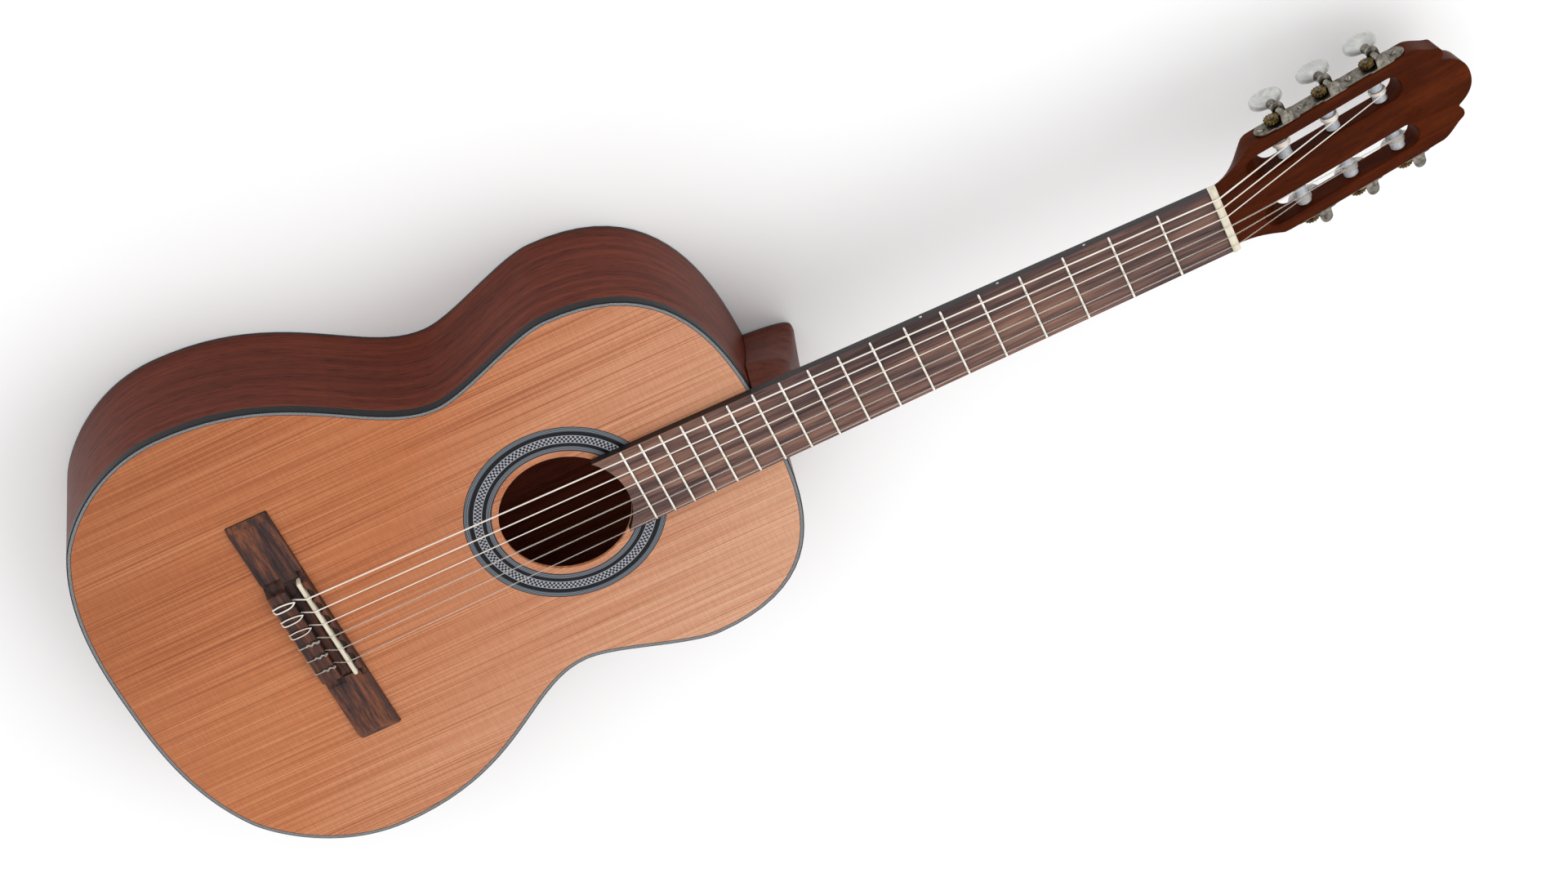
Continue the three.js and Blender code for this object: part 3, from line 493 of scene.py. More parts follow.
def bone():
    """Bone with faint streaks and pores along its length."""
    finish = Finish("bone", 0.35, specular=0.5, coat=0.2)
    mottle = finish.noise((60, 320, 320), 4, 0.6)
    pores = finish.noise((500, 3000, 3000), 2)
    base = finish.ramp(mottle, [(0.3, "c9c0a8"), (0.5, "d8d0ba"), (0.7, "e3dccb")])
    specks = finish.ramp(pores, [(0.3, 0.86), (0.4, 1.0)])
    finish.colour(finish.blend(0.6, base, specks, "MULTIPLY"))
    finish.shader.inputs["Subsurface Weight"].default_value = 0.08
    finish.shader.inputs["Subsurface Scale"].default_value = 0.002
    finish.bump(mottle, 0.03, 0.3)


def metal(name, dark, light, roughness):
    """Plated metal with patches of tarnish and fine scratches."""
    finish = Finish(name, roughness, metallic=1.0)
    tarnish = finish.noise(260, 4, 0.6)
    scratches = finish.noise((400, 6000, 6000), 2)
    plating = finish.ramp(tarnish, [(0.34, dark), (0.6, light)])
    finish.colour(finish.shaded_crevices(plating, 2.5, 0.1))
    finish.roughen(tarnish, roughness + 0.18, roughness - 0.05)
    finish.bump(scratches, 0.01, 0.3)


def pearl():
    """Milky pearl plastic with soft swirls, which lets a little light through."""
    finish = Finish("pearl", 0.18, specular=0.6, coat=0.6, coat_roughness=0.06)
    swirl = finish.noise(75, 3, 0.5, 2.2)
    finish.colour(finish.ramp(swirl, [(0.3, "a8a9a6"), (0.5, "b7b8b5"), (0.7, "c9cac6")]))
    finish.shader.inputs["Subsurface Weight"].default_value = 0.15
    finish.shader.inputs["Subsurface Scale"].default_value = 0.004
    finish.roughen(swirl, 0.12, 0.24)
    finish.bump(swirl, 0.02, 0.2)


def wound_string():
    """Silver-plated wire wound on a nylon core: fine rings across the string."""
    finish = Finish("wound_string", 0.35, metallic=0.3)
    turns = finish.product(finish.axis("Y"), 2 * math.pi / (WIRE_PITCH * MM))
    shade = finish.sum(finish.product(finish.math("SINE", turns), 0.5), 0.5)
    tarnish = finish.noise((90, 30, 90), 3)
    silver = finish.ramp(tarnish, [(0.35, "efe3d6"), (0.65, "fbf4ea")])
    # painted shade: the colour is darkened in the grooves between the turns
    grooves = finish.ramp(shade, [(0.0, 0.8), (0.5, 1.0)])
    finish.colour(finish.blend(1.0, silver, grooves, "MULTIPLY"))
    finish.bump(shade, 0.05, 0.6)


def nylon():
    """Clear nylon, faintly cloudy."""
    finish = Finish("nylon", 0.22, specular=0.5)
    cloud = finish.noise((200, 30, 200), 2)
    finish.colour(finish.ramp(cloud, [(0.3, "c9c0b4"), (0.7, "ddd6cb")]))
    finish.shader.inputs["Alpha"].default_value = 0.36
    finish.bump(cloud, 0.01, 0.2)


def floor_finish():
    finish = Finish("studio_floor", 0.8, specular=0.1)
    finish.colour("fcfcfc")


SIDE_STOPS = ("44190f", "5f2819", "743624")
NECK_STOPS = ("3f1a12", "58281c", "6e3828")
HEAD_STOPS = ("311005", "451904", "592409")
BOARD_STOPS = ("372b2c", "584341", "7b5b51", "9d7461")
BRIDGE_STOPS = ("251a1a", "3a2826", "54342a", "7a4830")


def make_finishes():
    cedar()
    mahogany("side_mahogany", SIDE_STOPS, (9, 9, 170))
    back_mahogany()
    mahogany("neck_mahogany", NECK_STOPS, (170, 7, 170))
    mahogany("head_mahogany", HEAD_STOPS, (120, 7, 90), 0.3, 0.35, 0.03)
    rosewood("rosewood_board", (75, 3.2, 75), BOARD_STOPS, 0.46)
    plastic("board_side", "120f10", "1e1819", 0.42)
    rosewood("rosewood_bridge", (14, 130, 130), BRIDGE_STOPS, 0.44)
    spruce()
    plastic("binding", "08090c", "121419", 0.3, specular=0.2)
    plastic("purfling", "656567", "7f8083", 0.34)
    rosette_lines()
    mosaic()
    bone()
    metal("nickel", "4a4640", "817c72", 0.36)
    metal("bright_nickel", "6b665c", "a8a296", 0.22)
    metal("fret_metal", "e4ddd0", "f4efe6", 0.28)
    metal("brass", "2e2416", "7c6439", 0.36)
    plastic("roller_white", "9ea3aa", "b9bdc2", 0.3, coat=0.2)
    pearl()
    wound_string()
    nylon()
    floor_finish()


make_finishes()

# ---- Mesh helpers ----

SHARP_ANGLE = math.radians(33)
WELD = 1e-7


def add_piece(name, mesh_data, finishes, body="root"):
    """Makes an object from a bmesh, dresses it and lets it ride on a body."""
    if isinstance(finishes, str):
        finishes = [finishes]
    bmesh.ops.remove_doubles(mesh_data, verts=mesh_data.verts, dist=WELD)
    bmesh.ops.dissolve_degenerate(mesh_data, edges=mesh_data.edges, dist=WELD)
    bmesh.ops.recalc_face_normals(mesh_data, faces=mesh_data.faces)
    mesh = bpy.data.meshes.new(name)
    mesh_data.to_mesh(mesh)
    mesh_data.free()
    for finish in finishes:
        mesh.materials.append(FINISHES[finish])
    mesh.set_sharp_from_angle(angle=SHARP_ANGLE)
    piece = add_object(name, mesh)
    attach(piece, body)
    return piece


def replace(node, mesh_data, finishes, body="root"):
    """A finer piece that stands for a CAD node."""
    piece = add_piece(f"{node}_fine", mesh_data, finishes, body)
    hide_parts(node)
    return piece


def bridge_rings(mesh_data, low, high):
    """Smooth faces between two closed rings of corners."""
    for i in range(len(low)):
        j = (i + 1) % len(low)
        mesh_data.faces.new((low[i], low[j], high[j], high[i])).smooth = True


def loft(sections):
    """A smooth skin through closed sections with equally many points, and a flat cap at each end."""
    skin = bmesh.new()
    rings = [[skin.verts.new(point) for point in section] for section in sections]
    for low, high in zip(rings, rings[1:]):
        bridge_rings(skin, low, high)
    skin.faces.new(rings[0][::-1])
    skin.faces.new(rings[-1])
    return skin


def stacked(levels):
    """A plate from levels of matching loops: the outline first, and then those of its holes."""
    plate = bmesh.new()
    built = [[[plate.verts.new(point) for point in loop] for loop in level] for level in levels]
    for low_level, high_level in zip(built, built[1:]):
        for low, high in zip(low_level, high_level):
            bridge_rings(plate, low, high)
    for level in (built[0], built[-1]):
        rim = []
        for loop in level:
            for i, corner in enumerate(loop):
                rim.append(plate.edges.get((corner, loop[(i + 1) % len(loop)])))
        bmesh.ops.triangle_fill(plate, edges=rim, use_beauty=True, use_dissolve=False)
    return plate


def plates(loops):
    """A plate without holes, from matching outlines."""
    return stacked([[loop] for loop in loops])


def merged(parts):
    """One bmesh that holds all the given ones."""
    whole = bmesh.new()
    for part in parts:
        carrier = bpy.data.meshes.new("carrier")
        part.to_mesh(carrier)
        part.free()
        whole.from_mesh(carrier)
        bpy.data.meshes.remove(carrier)
    return whole


def circle(radius, sides):
    turns = [2 * math.pi * i / sides for i in range(sides)]
    return [(radius * math.cos(turn), radius * math.sin(turn)) for turn in turns]


def half_round(width, height, count):
    """Points over a round crest, from one foot to the other."""
    return [(width * math.cos(a), height * math.sin(a)) for a in spread(0, math.pi, count)]


def turned(profile, origin, axis, sides=28):
    """A turned solid: the profile lists (radius, place along the axis) in millimetres."""
    axis = Vector(axis).normalized()
    first = axis.orthogonal().normalized()
    second = axis.cross(first)
    sections = []
    for radius, along in profile:
        centre = origin + axis * along * MM
        ring = circle(radius * MM, sides)
        sections.append([centre + first * a + second * b for a, b in ring])
    return loft(sections)


def tube(points, radius, sides=12):
    """A round bar along a path of points in metres, with its section carried without twist."""
    sections = []
    normal = (points[1] - points[0]).orthogonal().normalized()
    for i, point in enumerate(points):
        before = points[max(i - 1, 0)]
        after = points[min(i + 1, len(points) - 1)]
        heading = (after - before).normalized()
        normal = (normal - heading * normal.dot(heading)).normalized()
        side = heading.cross(normal)
        ring = circle(radius * MM, sides)
        sections.append([point + normal * a + side * b for a, b in ring])
    return loft(sections)


def smooth_path(points, steps=8):
    """A Catmull-Rom curve through the points."""
    ends = [points[0] * 2 - points[1], *points, points[-1] * 2 - points[-2]]
    path = []
    for a, b, c, d in zip(ends, ends[1:], ends[2:], ends[3:]):
        linear = c - a
        square = 2 * a - 5 * b + 4 * c - d
        cubic = 3 * b - a - 3 * c + d
        for t in (step / steps for step in range(steps)):
            path.append(0.5 * (2 * b + linear * t + square * t ** 2 + cubic * t ** 3))
    path.append(points[-1].copy())
    return path


def carve(piece, tool):
    """Cuts a tool's volume out of a piece."""
    tool_mesh = bpy.data.meshes.new("tool")
    bmesh.ops.recalc_face_normals(tool, faces=tool.faces)
    tool.to_mesh(tool_mesh)
    tool.free()
    cutter = add_object("tool", tool_mesh)
    modifier = piece.modifiers.new("carve", "BOOLEAN")
    modifier.operation = "DIFFERENCE"
    modifier.solver = "EXACT"
    modifier.object = cutter
    bpy.context.view_layer.update()
    evaluated = piece.evaluated_get(bpy.context.evaluated_depsgraph_get())
    carved = bpy.data.meshes.new_from_object(evaluated)
    piece.modifiers.clear()
    piece.data = carved
    carved.set_sharp_from_angle(angle=SHARP_ANGLE)
    bpy.data.objects.remove(cutter)
    bpy.data.meshes.remove(tool_mesh)


def bezier(points, share):
    """A point on a cubic curve in the plane, and the direction there."""
    a, b, c, d = (Vector(point) for point in points)
    rest = 1 - share
    at = a * rest ** 3 + b * 3 * share * rest ** 2 + c * 3 * share ** 2 * rest + d * share ** 3
    heading = (b - a) * rest ** 2 + (c - b) * 2 * share * rest + (d - c) * share ** 2
    return at, heading.normalized()


def trace(curves, steps):
    """Points and directions along joined cubic curves."""
    traced = []
    for number, curve in enumerate(curves):
        for step in range(0 if number == 0 else 1, steps + 1):
            traced.append(bezier(curve, step / steps))
    return traced


# ---- Body ----


def outline_curves():
    """The treble half of the body's outline, from the tail to the neck."""
    return [
        ((0, TAIL), (31.5, TAIL), (84, TAIL), TAIL_CORNER),
        (TAIL_CORNER, (143.5, -767.1), (LOWER_BOUT[0], -732), LOWER_BOUT),
        (LOWER_BOUT, (LOWER_BOUT[0], -587.5), (WAIST[0], -557.5), WAIST),
        (WAIST, (WAIST[0], -490), (UPPER_BOUT[0], -446), UPPER_BOUT),
        (UPPER_BOUT, (UPPER_BOUT[0], BODY_END), (49, BODY_END), (0, BODY_END)),
    ]


OUTLINE = trace(outline_curves(), OUTLINE_STEPS)


def half_outline(inset):
    """The treble half of the body's outline as (x, y), drawn in by an inset."""
    return [(max(at.x - inset * way.y, 0), at.y + inset * way.x) for at, way in OUTLINE]


def full_outline(inset, z):
    """The body's whole outline at a height, drawn in by an inset."""
    half = half_outline(inset)
    other = [(-x, y) for x, y in half[-2:0:-1]]
    return [place(x, y, z) for x, y in half + other]


def hole_ring(radius, z, sides=160):
    return [place(x, y + HOLE_AT, z) for x, y in circle(radius, sides)]


def ring_strip(levels):
    """A strip that follows the outline; each level is (outer inset, inner inset, height)."""
    return stacked([[full_outline(outer, z), full_outline(inner, z)] for outer, inner, z in levels])


def make_top():
    """The soundboard with its eased soundhole, and the lines let into its edge."""
    inset = PURFLING[1] + PURFLING_LINE
    eased = [(-TOP_THICKNESS, 0), (-0.5, 0), (-0.15, 0.15), (0, 0.5)]
    board = stacked([[full_outline(inset, z), hole_ring(HOLE_RADIUS + wider, z)] for z, wider in eased])
    replace("soundboard", board, "cedar")
    strip = ring_strip([(*PURFLING, -PURFLING_DEPTH), (*PURFLING, 0)])
    add_piece("purfling", strip, "purfling")
    line = ring_strip([(PURFLING[1], inset, -PURFLING_DEPTH), (PURFLING[1], inset, 0.01)])
    add_piece("purfling_line", line, "binding")


def make_rosette():
    """Concentric inlaid bands, flush with the top."""
    ring = bmesh.new()
    rims = [
        [ring.verts.new(point) for point in hole_ring(radius, ROSETTE_PROUD, ROSETTE_SIDES)]
        for radius, _ in ROSETTE_BANDS]
    finishes = sorted({finish for _, finish in ROSETTE_BANDS if finish}, reverse=True)
    for outer, inner, (_, finish) in zip(rims, rims[1:], ROSETTE_BANDS):
        for i in range(ROSETTE_SIDES):
            j = (i + 1) % ROSETTE_SIDES
            face = ring.faces.new((outer[i], outer[j], inner[j], inner[i]))
            face.material_index = finishes.index(finish)
    walls = []
    for rim in (rims[0], rims[-1]):
        lowered = [ring.verts.new(corner.co - Vector((0, 0, MM))) for corner in rim]
        bridge_rings(ring, rim, lowered)
        walls.append(lowered)
    bridge_rings(ring, *walls)
    replace("rosette", ring, finishes)


def make_bindings():
    """The rounded strips round both edges of the body, as (outer inset, height)."""
    top = [(0, -TOP_BINDING_HEIGHT), (0, -0.8), (0.06, -0.4), (0.24, -0.12), (0.5, 0)]
    replace("binding_top", ring_strip([(outer, PURFLING[0], z) for outer, z in top]), "binding")
    back = [(0.9, 0), (0.4, 0.14), (0.1, 0.5), (0, 1), (0, BACK_BINDING_HEIGHT)]
    strip = ring_strip([(outer, BINDING_WIDTH, z - BODY_DEPTH) for outer, z in back])
    replace("binding_back", strip, "binding")


def make_back():
    heights = (0.02 - BODY_DEPTH, BACK_THICKNESS - BODY_DEPTH)
    plate = plates([full_outline(BINDING_WIDTH, z) for z in heights])
    replace("back_plate", plate, "back_mahogany")


def make_sides():
    """The two bent sides, between the two bindings."""
    low = -BODY_DEPTH + BACK_BINDING_HEIGHT
    high = -TOP_BINDING_HEIGHT
    for name, side in (("bass", -1), ("treble", 1)):
        sections = []
        for z in (low, high):
            outer = [place(side * x, y, z) for x, y in half_outline(0)]
            inner = [place(side * x, y, z) for x, y in half_outline(SIDE_THICKNESS)]
            sections.append(outer + inner[::-1])
        replace(f"side_{name}", loft(sections), "side_mahogany")


def dress_inside():
    """The blocks, linings and braces keep their CAD shape."""
    pale = ("lining_", "upper_bar", "lower_bar", "fan_brace_", "back_brace_")
    finishes = {"neck_block": "neck_mahogany", "tail_block": "neck_mahogany"}
    finishes.update({name: "spruce" for name in frame["nodes"] if name.startswith(pale)})
    for name, finish in finishes.items():
        materials = frame["nodes"][name].data.materials
        materials.clear()
        materials.append(FINISHES[finish])


# ---- Neck ----


def arch_section(edge, crown, half, power, points=36):
    """Half way round the wood: from one edge over the crown to the other.

    edge and crown are (y, z); the section lies in the plane of x and the line between them.
    """
    section = []
    for i in range(points + 1):
        across = -math.cos(math.pi * i / points)
        out = 1 - abs(across) ** power
        y = mix(edge[0], crown[0], out)
        z = mix(edge[1], crown[1], out)
        section.append(place(across * half, y, z))
    return section


def neck_depth(y):
    """From the neck's top to the back of its shaft."""
    return mix(NECK_DEPTH_AT_NUT, NECK_DEPTH_AT_BODY, y / BODY_END)


def shaft_sections():
    """Sections from the headstock along the shaft to the start of the heel."""
    top = head_point(HEAD_START, 0)
    back = head_point(HEAD_START, -HEAD_DEPTH_AT_NUT)
    sections = [arch_section(top, back, NUT_WIDTH / 2, NECK_POWER)]
    for y in spread(-1, HEEL_FROM, 40):
        sections.append(arch_section((y, 0), (y, -neck_depth(y)), board_half(y), NECK_POWER))
    return sections


def heel_sections():
    """Sections round the bend from the shaft to the heel, and down the heel to its cap."""
    sections = []
    depth = neck_depth(HEEL_FROM)
    front = NECK_JOINT + HEEL_TOP["reach"]
    bend = (
        (HEEL_FROM, -depth), (NECK_JOINT + 32, -depth), (front - 0.5, -20), (front, HEEL_BEND_FOOT))
    run = HEEL_FROM - NECK_JOINT
    last_edge = HEEL_BEND_FOOT + 4
    steps = 30
    shares = [step / steps for step in range(1, steps + 1)]
    for share in shares:
        travelled = share * (run - last_edge)
        edge = (HEEL_FROM - travelled, 0) if travelled < run else (NECK_JOINT, run - travelled)
        crown, _ = bezier(bend, share)
        power = mix(NECK_POWER, HEEL_TOP["power"], smooth_step(0, 1, share))
        sections.append(arch_section(edge, crown, board_half(edge[0]), power))
    for share in shares:
        edge = (NECK_JOINT, mix(last_edge, HEEL_CAP[1], share))
        reach = mix(HEEL_TOP["reach"], HEEL_FOOT["reach"], share)
        crown = (NECK_JOINT + reach, mix(HEEL_BEND_FOOT, HEEL_CAP[1], share))
        half = mix(HEEL_FOOT["half"], board_half(NECK_JOINT), (1 - share) ** 1.5)
        power = mix(HEEL_TOP["power"], HEEL_FOOT["power"], share)
        sections.append(arch_section(edge, crown, half, power))
    return sections


def make_neck():
    neck = replace("neck", loft(shaft_sections() + heel_sections()), "neck_mahogany")
    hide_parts("heel")


def make_heel_cap():
    low, high = HEEL_CAP
    levels = []
    for z, shrink in ((low, 0.8), (low + 0.3, 0.2), (low + 0.9, 0), (high, 0)):
        tip = (NECK_JOINT + HEEL_FOOT["reach"] - shrink, z)
        half = HEEL_FOOT["half"] - shrink
        levels.append(arch_section((NECK_JOINT, z), tip, half, HEEL_FOOT["power"]))
    replace("heel_cap", loft(levels), "board_side")


def board_outline(swell, z):
    """The fingerboard from above: straight sides and a hollow end that follows the soundhole."""
    corner = math.acos(board_half(HOLE_AT + BOARD_REACH) / HOLE_RADIUS)
    radius = HOLE_RADIUS + swell
    hollow = [
        place(radius * math.cos(a), HOLE_AT + radius * math.sin(a), z)
        for a in spread(math.pi - corner, corner, 40)]
    head_end = [place(side * (NUT_WIDTH / 2 - swell), -0.02, z) for side in (1, -1)]
    hollow[0].x += swell * MM
    hollow[-1].x -= swell * MM
    return head_end + hollow


def make_fingerboard():
    levels = [(0, -BOARD_THICKNESS), (0, -BOARD_ROUNDING), (0.15, -0.12), (BOARD_ROUNDING, 0)]
    board = plates([board_outline(swell, BOARD_THICKNESS + z) for swell, z in levels])
    face_from = (TOP_Z + BOARD_THICKNESS - BOARD_ROUNDING - 0.1) * MM
    for part in board.faces:
        part.material_index = 0 if part.calc_center_median().z > face_from else 1
    replace("fingerboard", board, ["rosewood_board", "board_side"])


def make_frets():
    """Nickel silver wire: a low round crown with dressed ends, one bar at each fret place."""
    foot = BOARD_THICKNESS - FRET["sunk"]
    for number in range(1, FRETS + 1):
        y = fret_place(number)
        half = board_half(y) - FRET["short"]
        sections = []
        for share in (-1, -0.995, -0.985, -0.96, 0, 0.96, 0.985, 0.995, 1):
            dressing = smooth_step(1.0, 0.955, abs(share))
            height = mix(FRET["end_crown"], FRET["crown"], dressing)
            wide = mix(FRET["end_half"], FRET["half"], dressing)
            crest = half_round(wide, height, 13)
            sections.append([place(share * half, y + along, foot + up) for along, up in crest])
        add_piece(f"fret_{number}", loft(sections), "fret_metal")


def make_side_dots():
    """Pearl dots in the bass side of the fingerboard."""
    for space in SIDE_DOT_SPACES:
        y = (fret_place(space - 1) + fret_place(space)) / 2
        origin = place(-board_half(y) + 0.6, y, BOARD_THICKNESS / 2)
        profile = [(0, -0.4), (1, -0.4), (1, 0.62), (0.75, 0.72), (0, 0.76)]
        add_piece(f"side_dot_{space}", turned(profile, origin, (-1, 0, 0), 24), "pearl")


def string_across(string, spacing):
    """A string's place across the neck or the bridge."""
    return (MIDDLE_STRING - string) * spacing


def make_nut():
    """A bone nut whose crest falls towards the head, with a groove under each string."""
    grooves = [string_across(string, SPACING_AT_NUT) for string in STRINGS]
    sections = []
    for x in spread(-NUT_WIDTH / 2 + 0.05, NUT_WIDTH / 2 - 0.05, 260):
        end = smooth_step(NUT_WIDTH / 2, NUT_WIDTH / 2 - 0.8, abs(x))
        nearest = min(abs(x - groove) for groove in grooves)
        dip = 0.2 * max(0, 1 - (nearest / 0.8) ** 2)
        crest = NUT_HEIGHT + 0.15 - dip - 0.5 * (1 - end)
        sections.append([place(x, y, z) for y, z in [
            (0, 0), (0, crest - 0.9), (0.25, crest - 0.3), (0.9, crest), (2.6, crest - 0.1),
            (NUT_LENGTH - 0.9, crest - 0.8), (NUT_LENGTH - 0.2, crest - 1.3), (NUT_LENGTH, crest - 2),
            (NUT_LENGTH, 0),
        ]])
    replace("nut", loft(sections), "bone")


# ---- Headstock ----


def head_curves():
    """The treble half of the headstock's face, from the nut to the crest."""
    shoulder = (HEAD_HALF - 0.9, 37)
    side_end = (HEAD_HALF, 160)
    ear_base = (28.6, 177)
    notch = (18.8, 178.2)
    return [
        ((25, HEAD_START), (26, 16), (29.5, 25.5), shoulder),
        (shoulder, (HEAD_HALF - 0.2, 41), (HEAD_HALF - 0.3, 46), (HEAD_HALF - 0.3, 55)),
        ((HEAD_HALF - 0.3, 55), (HEAD_HALF, 90), (HEAD_HALF, 130), side_end),
        (side_end, (35.8, 166), (30.6, 171.5), ear_base),
        (ear_base, (27.6, 180.6), (23.6, 180.8), (21.6, 179.2)),
        ((21.6, 179.2), (20.6, 178.3), (19.8, 177.8), notch),
        (notch, (17, 180.6), (14.4, HEAD_LENGTH), (0, HEAD_LENGTH)),
    ]


HEAD_OUTLINE = trace(head_curves(), 14)


def head_outline(inset, depth):
    """The outline at a share of the head's depth, drawn in at the shoulders."""
    half = []
    for at, way in HEAD_OUTLINE:
        x = at.x - inset * way.y
        s = at.y + inset * way.x
        free = smooth_step(HEAD_START, SHOULDER, s)
        narrowed = (1 - depth) ** (1 / NECK_POWER)
        thickness = mix(HEAD_DEPTH_AT_NUT, HEAD_THICKNESS, free)
        half.append((max(x, 0) * mix(narrowed, 1, free), s, -depth * thickness))
    half[-1] = (0, half[-1][1], half[-1][2])
    mirrored = [(-x, s, z) for x, s, z in half[-2::-1]]
    return [on_head(*point) for point in half + mirrored]


def slot_loop(side, depth, swell):
    """One string slot at a share of the head's depth: round ends, and a ramp at the nut end."""
    half = SLOT["half"] + swell
    near = mix(SLOT["face"], SLOT["back"], depth) + SLOT["half"]
    middle = side * SLOT["centre"]
    z = -depth * HEAD_THICKNESS
    arcs = [(SLOT["round_at"], a) for a in spread(0, math.pi, 19)]
    arcs += [(near, a) for a in spread(math.pi, 2 * math.pi, 19)]
    return [on_head(middle + half * math.cos(a), s + half * math.sin(a), z) for s, a in arcs]


def make_headstock():
    """The head as levels of (share of its depth, inset), rounded at the face and at the back."""
    face = [(0, 0.7), (0.012, 0.22), (0.04, 0)]
    middle = [(depth, 0) for depth in (0.15, 0.28, 0.42, 0.56, 0.68, 0.79, 0.88, 0.94)]
    back = [(0.975, 0.15), (0.993, 0.45), (1, 0.8)]
    levels = []
    for depth, inset in face + middle + back:
        slots = [slot_loop(side, depth, inset * 0.7) for side in (-1, 1)]
        levels.append([head_outline(inset, depth), *slots])
    replace("headstock", stacked(levels), "head_mahogany")


# ---- Tuning machines ----


def head_place(point):
    """A frame point's x, place along the head and height out of its face, in millimetres."""
    offset = Vector(point) - place(0, 0, HEAD_LIFT)
    return point[0] / MM, offset.dot(ALONG_HEAD) / MM, offset.dot(HEAD_NORMAL) / MM


MACHINE_S = sorted(head_place(JOINTS[f"post_turn_{string}"]["pos_m"])[1] for string in TREBLES)
GEAR_X = JOINTS["post_turn_1"]["pos_m"][0] / MM
ROLLER_DEPTH = -head_place(JOINTS["post_turn_1"]["pos_m"])[2]


def machine_of(string):
    """The side, the place along the head and the string's place across it, of a machine."""
    side = 1 if string in TREBLES else -1
    from_nut = string - TREBLES[0] if string in TREBLES else STRINGS[-1] - string
    return side, MACHINE_S[from_nut], side * ROLLER_LANDING[from_nut]


def plate_outline(swell, x):
    """The side plate: round ends, and a lobed edge that widens at each machine."""
    start = PLATE["from"] + PLATE["half"]
    end = PLATE["to"] - PLATE["half"]
    upper = []
    for s in spread(start, end, 150):
        near = min(abs(s - machine - CENTRE_DISTANCE) for machine in MACHINE_S)
        lobe = smooth_step(LOBE["end"], LOBE["half"], near)
        from_bead = min(abs(near - LOBE["bead_at"]) / LOBE["bead_half"], 1)
        bead = LOBE["bead_height"] * math.cos(from_bead * math.pi / 2)
        upper.append((s, PLATE["half"] + lobe + bead + swell))
    radius = PLATE["half"] + swell
    cap = [(out, across) for across, out in half_round(radius, radius, 14)][1:-1]
    points = upper + [(end + along, up) for along, up in cap]
    points += [(s, -height) for s, height in reversed(upper)]
    points += [(start - along, -up) for along, up in cap]
    return [on_head(x, s, PLATE["middle"] + z) for s, z in points]


def ear(side, worm_s, low):
    """A folded tab with a round end that holds one end of the worm."""
    half = EAR["half"]
    round_at = EAR["reach"] - half
    foot = [(-0.6, half + 0.8), (0.8, half + 0.2)]
    points = [(out, -s) for out, s in foot]
    points += [(round_at + out, -s) for s, out in half_round(half, half, 15)]
    points += foot[::-1]
    high = low + EAR["thickness"]
    bevel = EAR["bevel"]
    levels = []
    for z, shrink in ((low, bevel), (low + bevel, 0), (high - bevel, 0), (high, bevel)):
        scale = 1 - shrink / half
        levels.append([
            on_head(side * (PLATE["outside"] + out * scale), worm_s + EAR["shift"] + s * scale, z)
            for out, s in points])
    return loft(levels)


def make_screw(name, finish, seat, angle, radius, body="root"):
    """A domed screw head with a slot at an angle; its seat is (x, place along the head, z)."""
    out = Vector((math.copysign(1, seat[0]), 0, 0))
    origin = on_head(*seat)
    profile = [
        (0, -0.5), (radius, -0.5), (radius, 0.1), (radius * 0.85, 0.6), (radius * 0.45, 0.95), (0, 1.05)]
    head = add_piece(name, turned(profile, origin, out, 24), finish, body)
    along = (ALONG_HEAD * math.cos(angle) + HEAD_NORMAL * math.sin(angle)) * (radius * 1.3 * MM)
    across = along.cross(Vector((1, 0, 0))).normalized() * 0.3 * MM
    corners = (-along - across, along - across, along + across, -along + across)
    slot = [[origin + out * depth * MM + corner for corner in corners] for depth in (0.5, 2)]
    carve(head, loft(slot))


def make_plates():
    """The side plates with their ears, and the screws that hold them."""
    middle = PLATE["middle"]
    outside = PLATE["outside"]
    for name, side in (("bass", -1), ("treble", 1)):
        levels = [(0, PLATE["inside"]), (0, outside - PLATE["bevel"]), (-PLATE["bevel"], outside)]
        parts = [loft([plate_outline(swell, side * x) for swell, x in levels])]
        for s in MACHINE_S:
            worm_s = s + CENTRE_DISTANCE
            parts.append(ear(side, worm_s, middle + EAR["half_span"] - EAR["thickness"]))
            parts.append(ear(side, worm_s, middle - EAR["half_span"]))
        replace(f"tuner_plate_{name}", merged(parts), "nickel")
        for number, s in enumerate(PLATE_SCREWS, 1):
            seat = (side * outside, s, middle)
            screw_name = f"plate_screw_{name}_{number}"
            make_screw(screw_name, "bright_nickel", seat, 0.7 * number, SCREW_RADIUS)


def rod(radius, low, high, origin, axis):
    """A plain cylinder between two places on an axis."""
    return turned([(0, low), (radius, low), (radius, high), (0, high)], origin, axis)


def make_roller(string):
    """The white sleeve that the string winds on, and the steel axle through it."""
    side, s, _ = machine_of(string)
    body = f"post_{string}"
    origin = on_head(0, s, -ROLLER_DEPTH)
    axis = (side, 0, 0)
    inner = SLOT["centre"] - SLOT["half"]
    outer = SLOT["centre"] + SLOT["half"]
    full = ROLLER_RADIUS
    edge = full - 0.3
    waist = full - 0.35
    sleeve = [
        (0, inner + 0.5), (edge, inner + 0.5), (full, inner + 0.9), (full, inner + 1.6),
        (waist, inner + 2.4), (waist, outer - 4.2), (full, outer - 3.4), (full, outer - 0.9),
        (edge, outer - 0.5), (0, outer - 0.5),
    ]
    replace(f"roller_{string}", turned(sleeve, origin, axis, 40), "roller_white", body)
    shaft = rod(SHAFT_RADIUS, outer - 0.6, PLATE["outside"] + GAP, origin, axis)
    pivot = rod(PIVOT["radius"], inner - PIVOT["length"], inner + 0.6, origin, axis)
    add_piece(f"axle_{string}", merged([shaft, pivot]), "nickel", body)


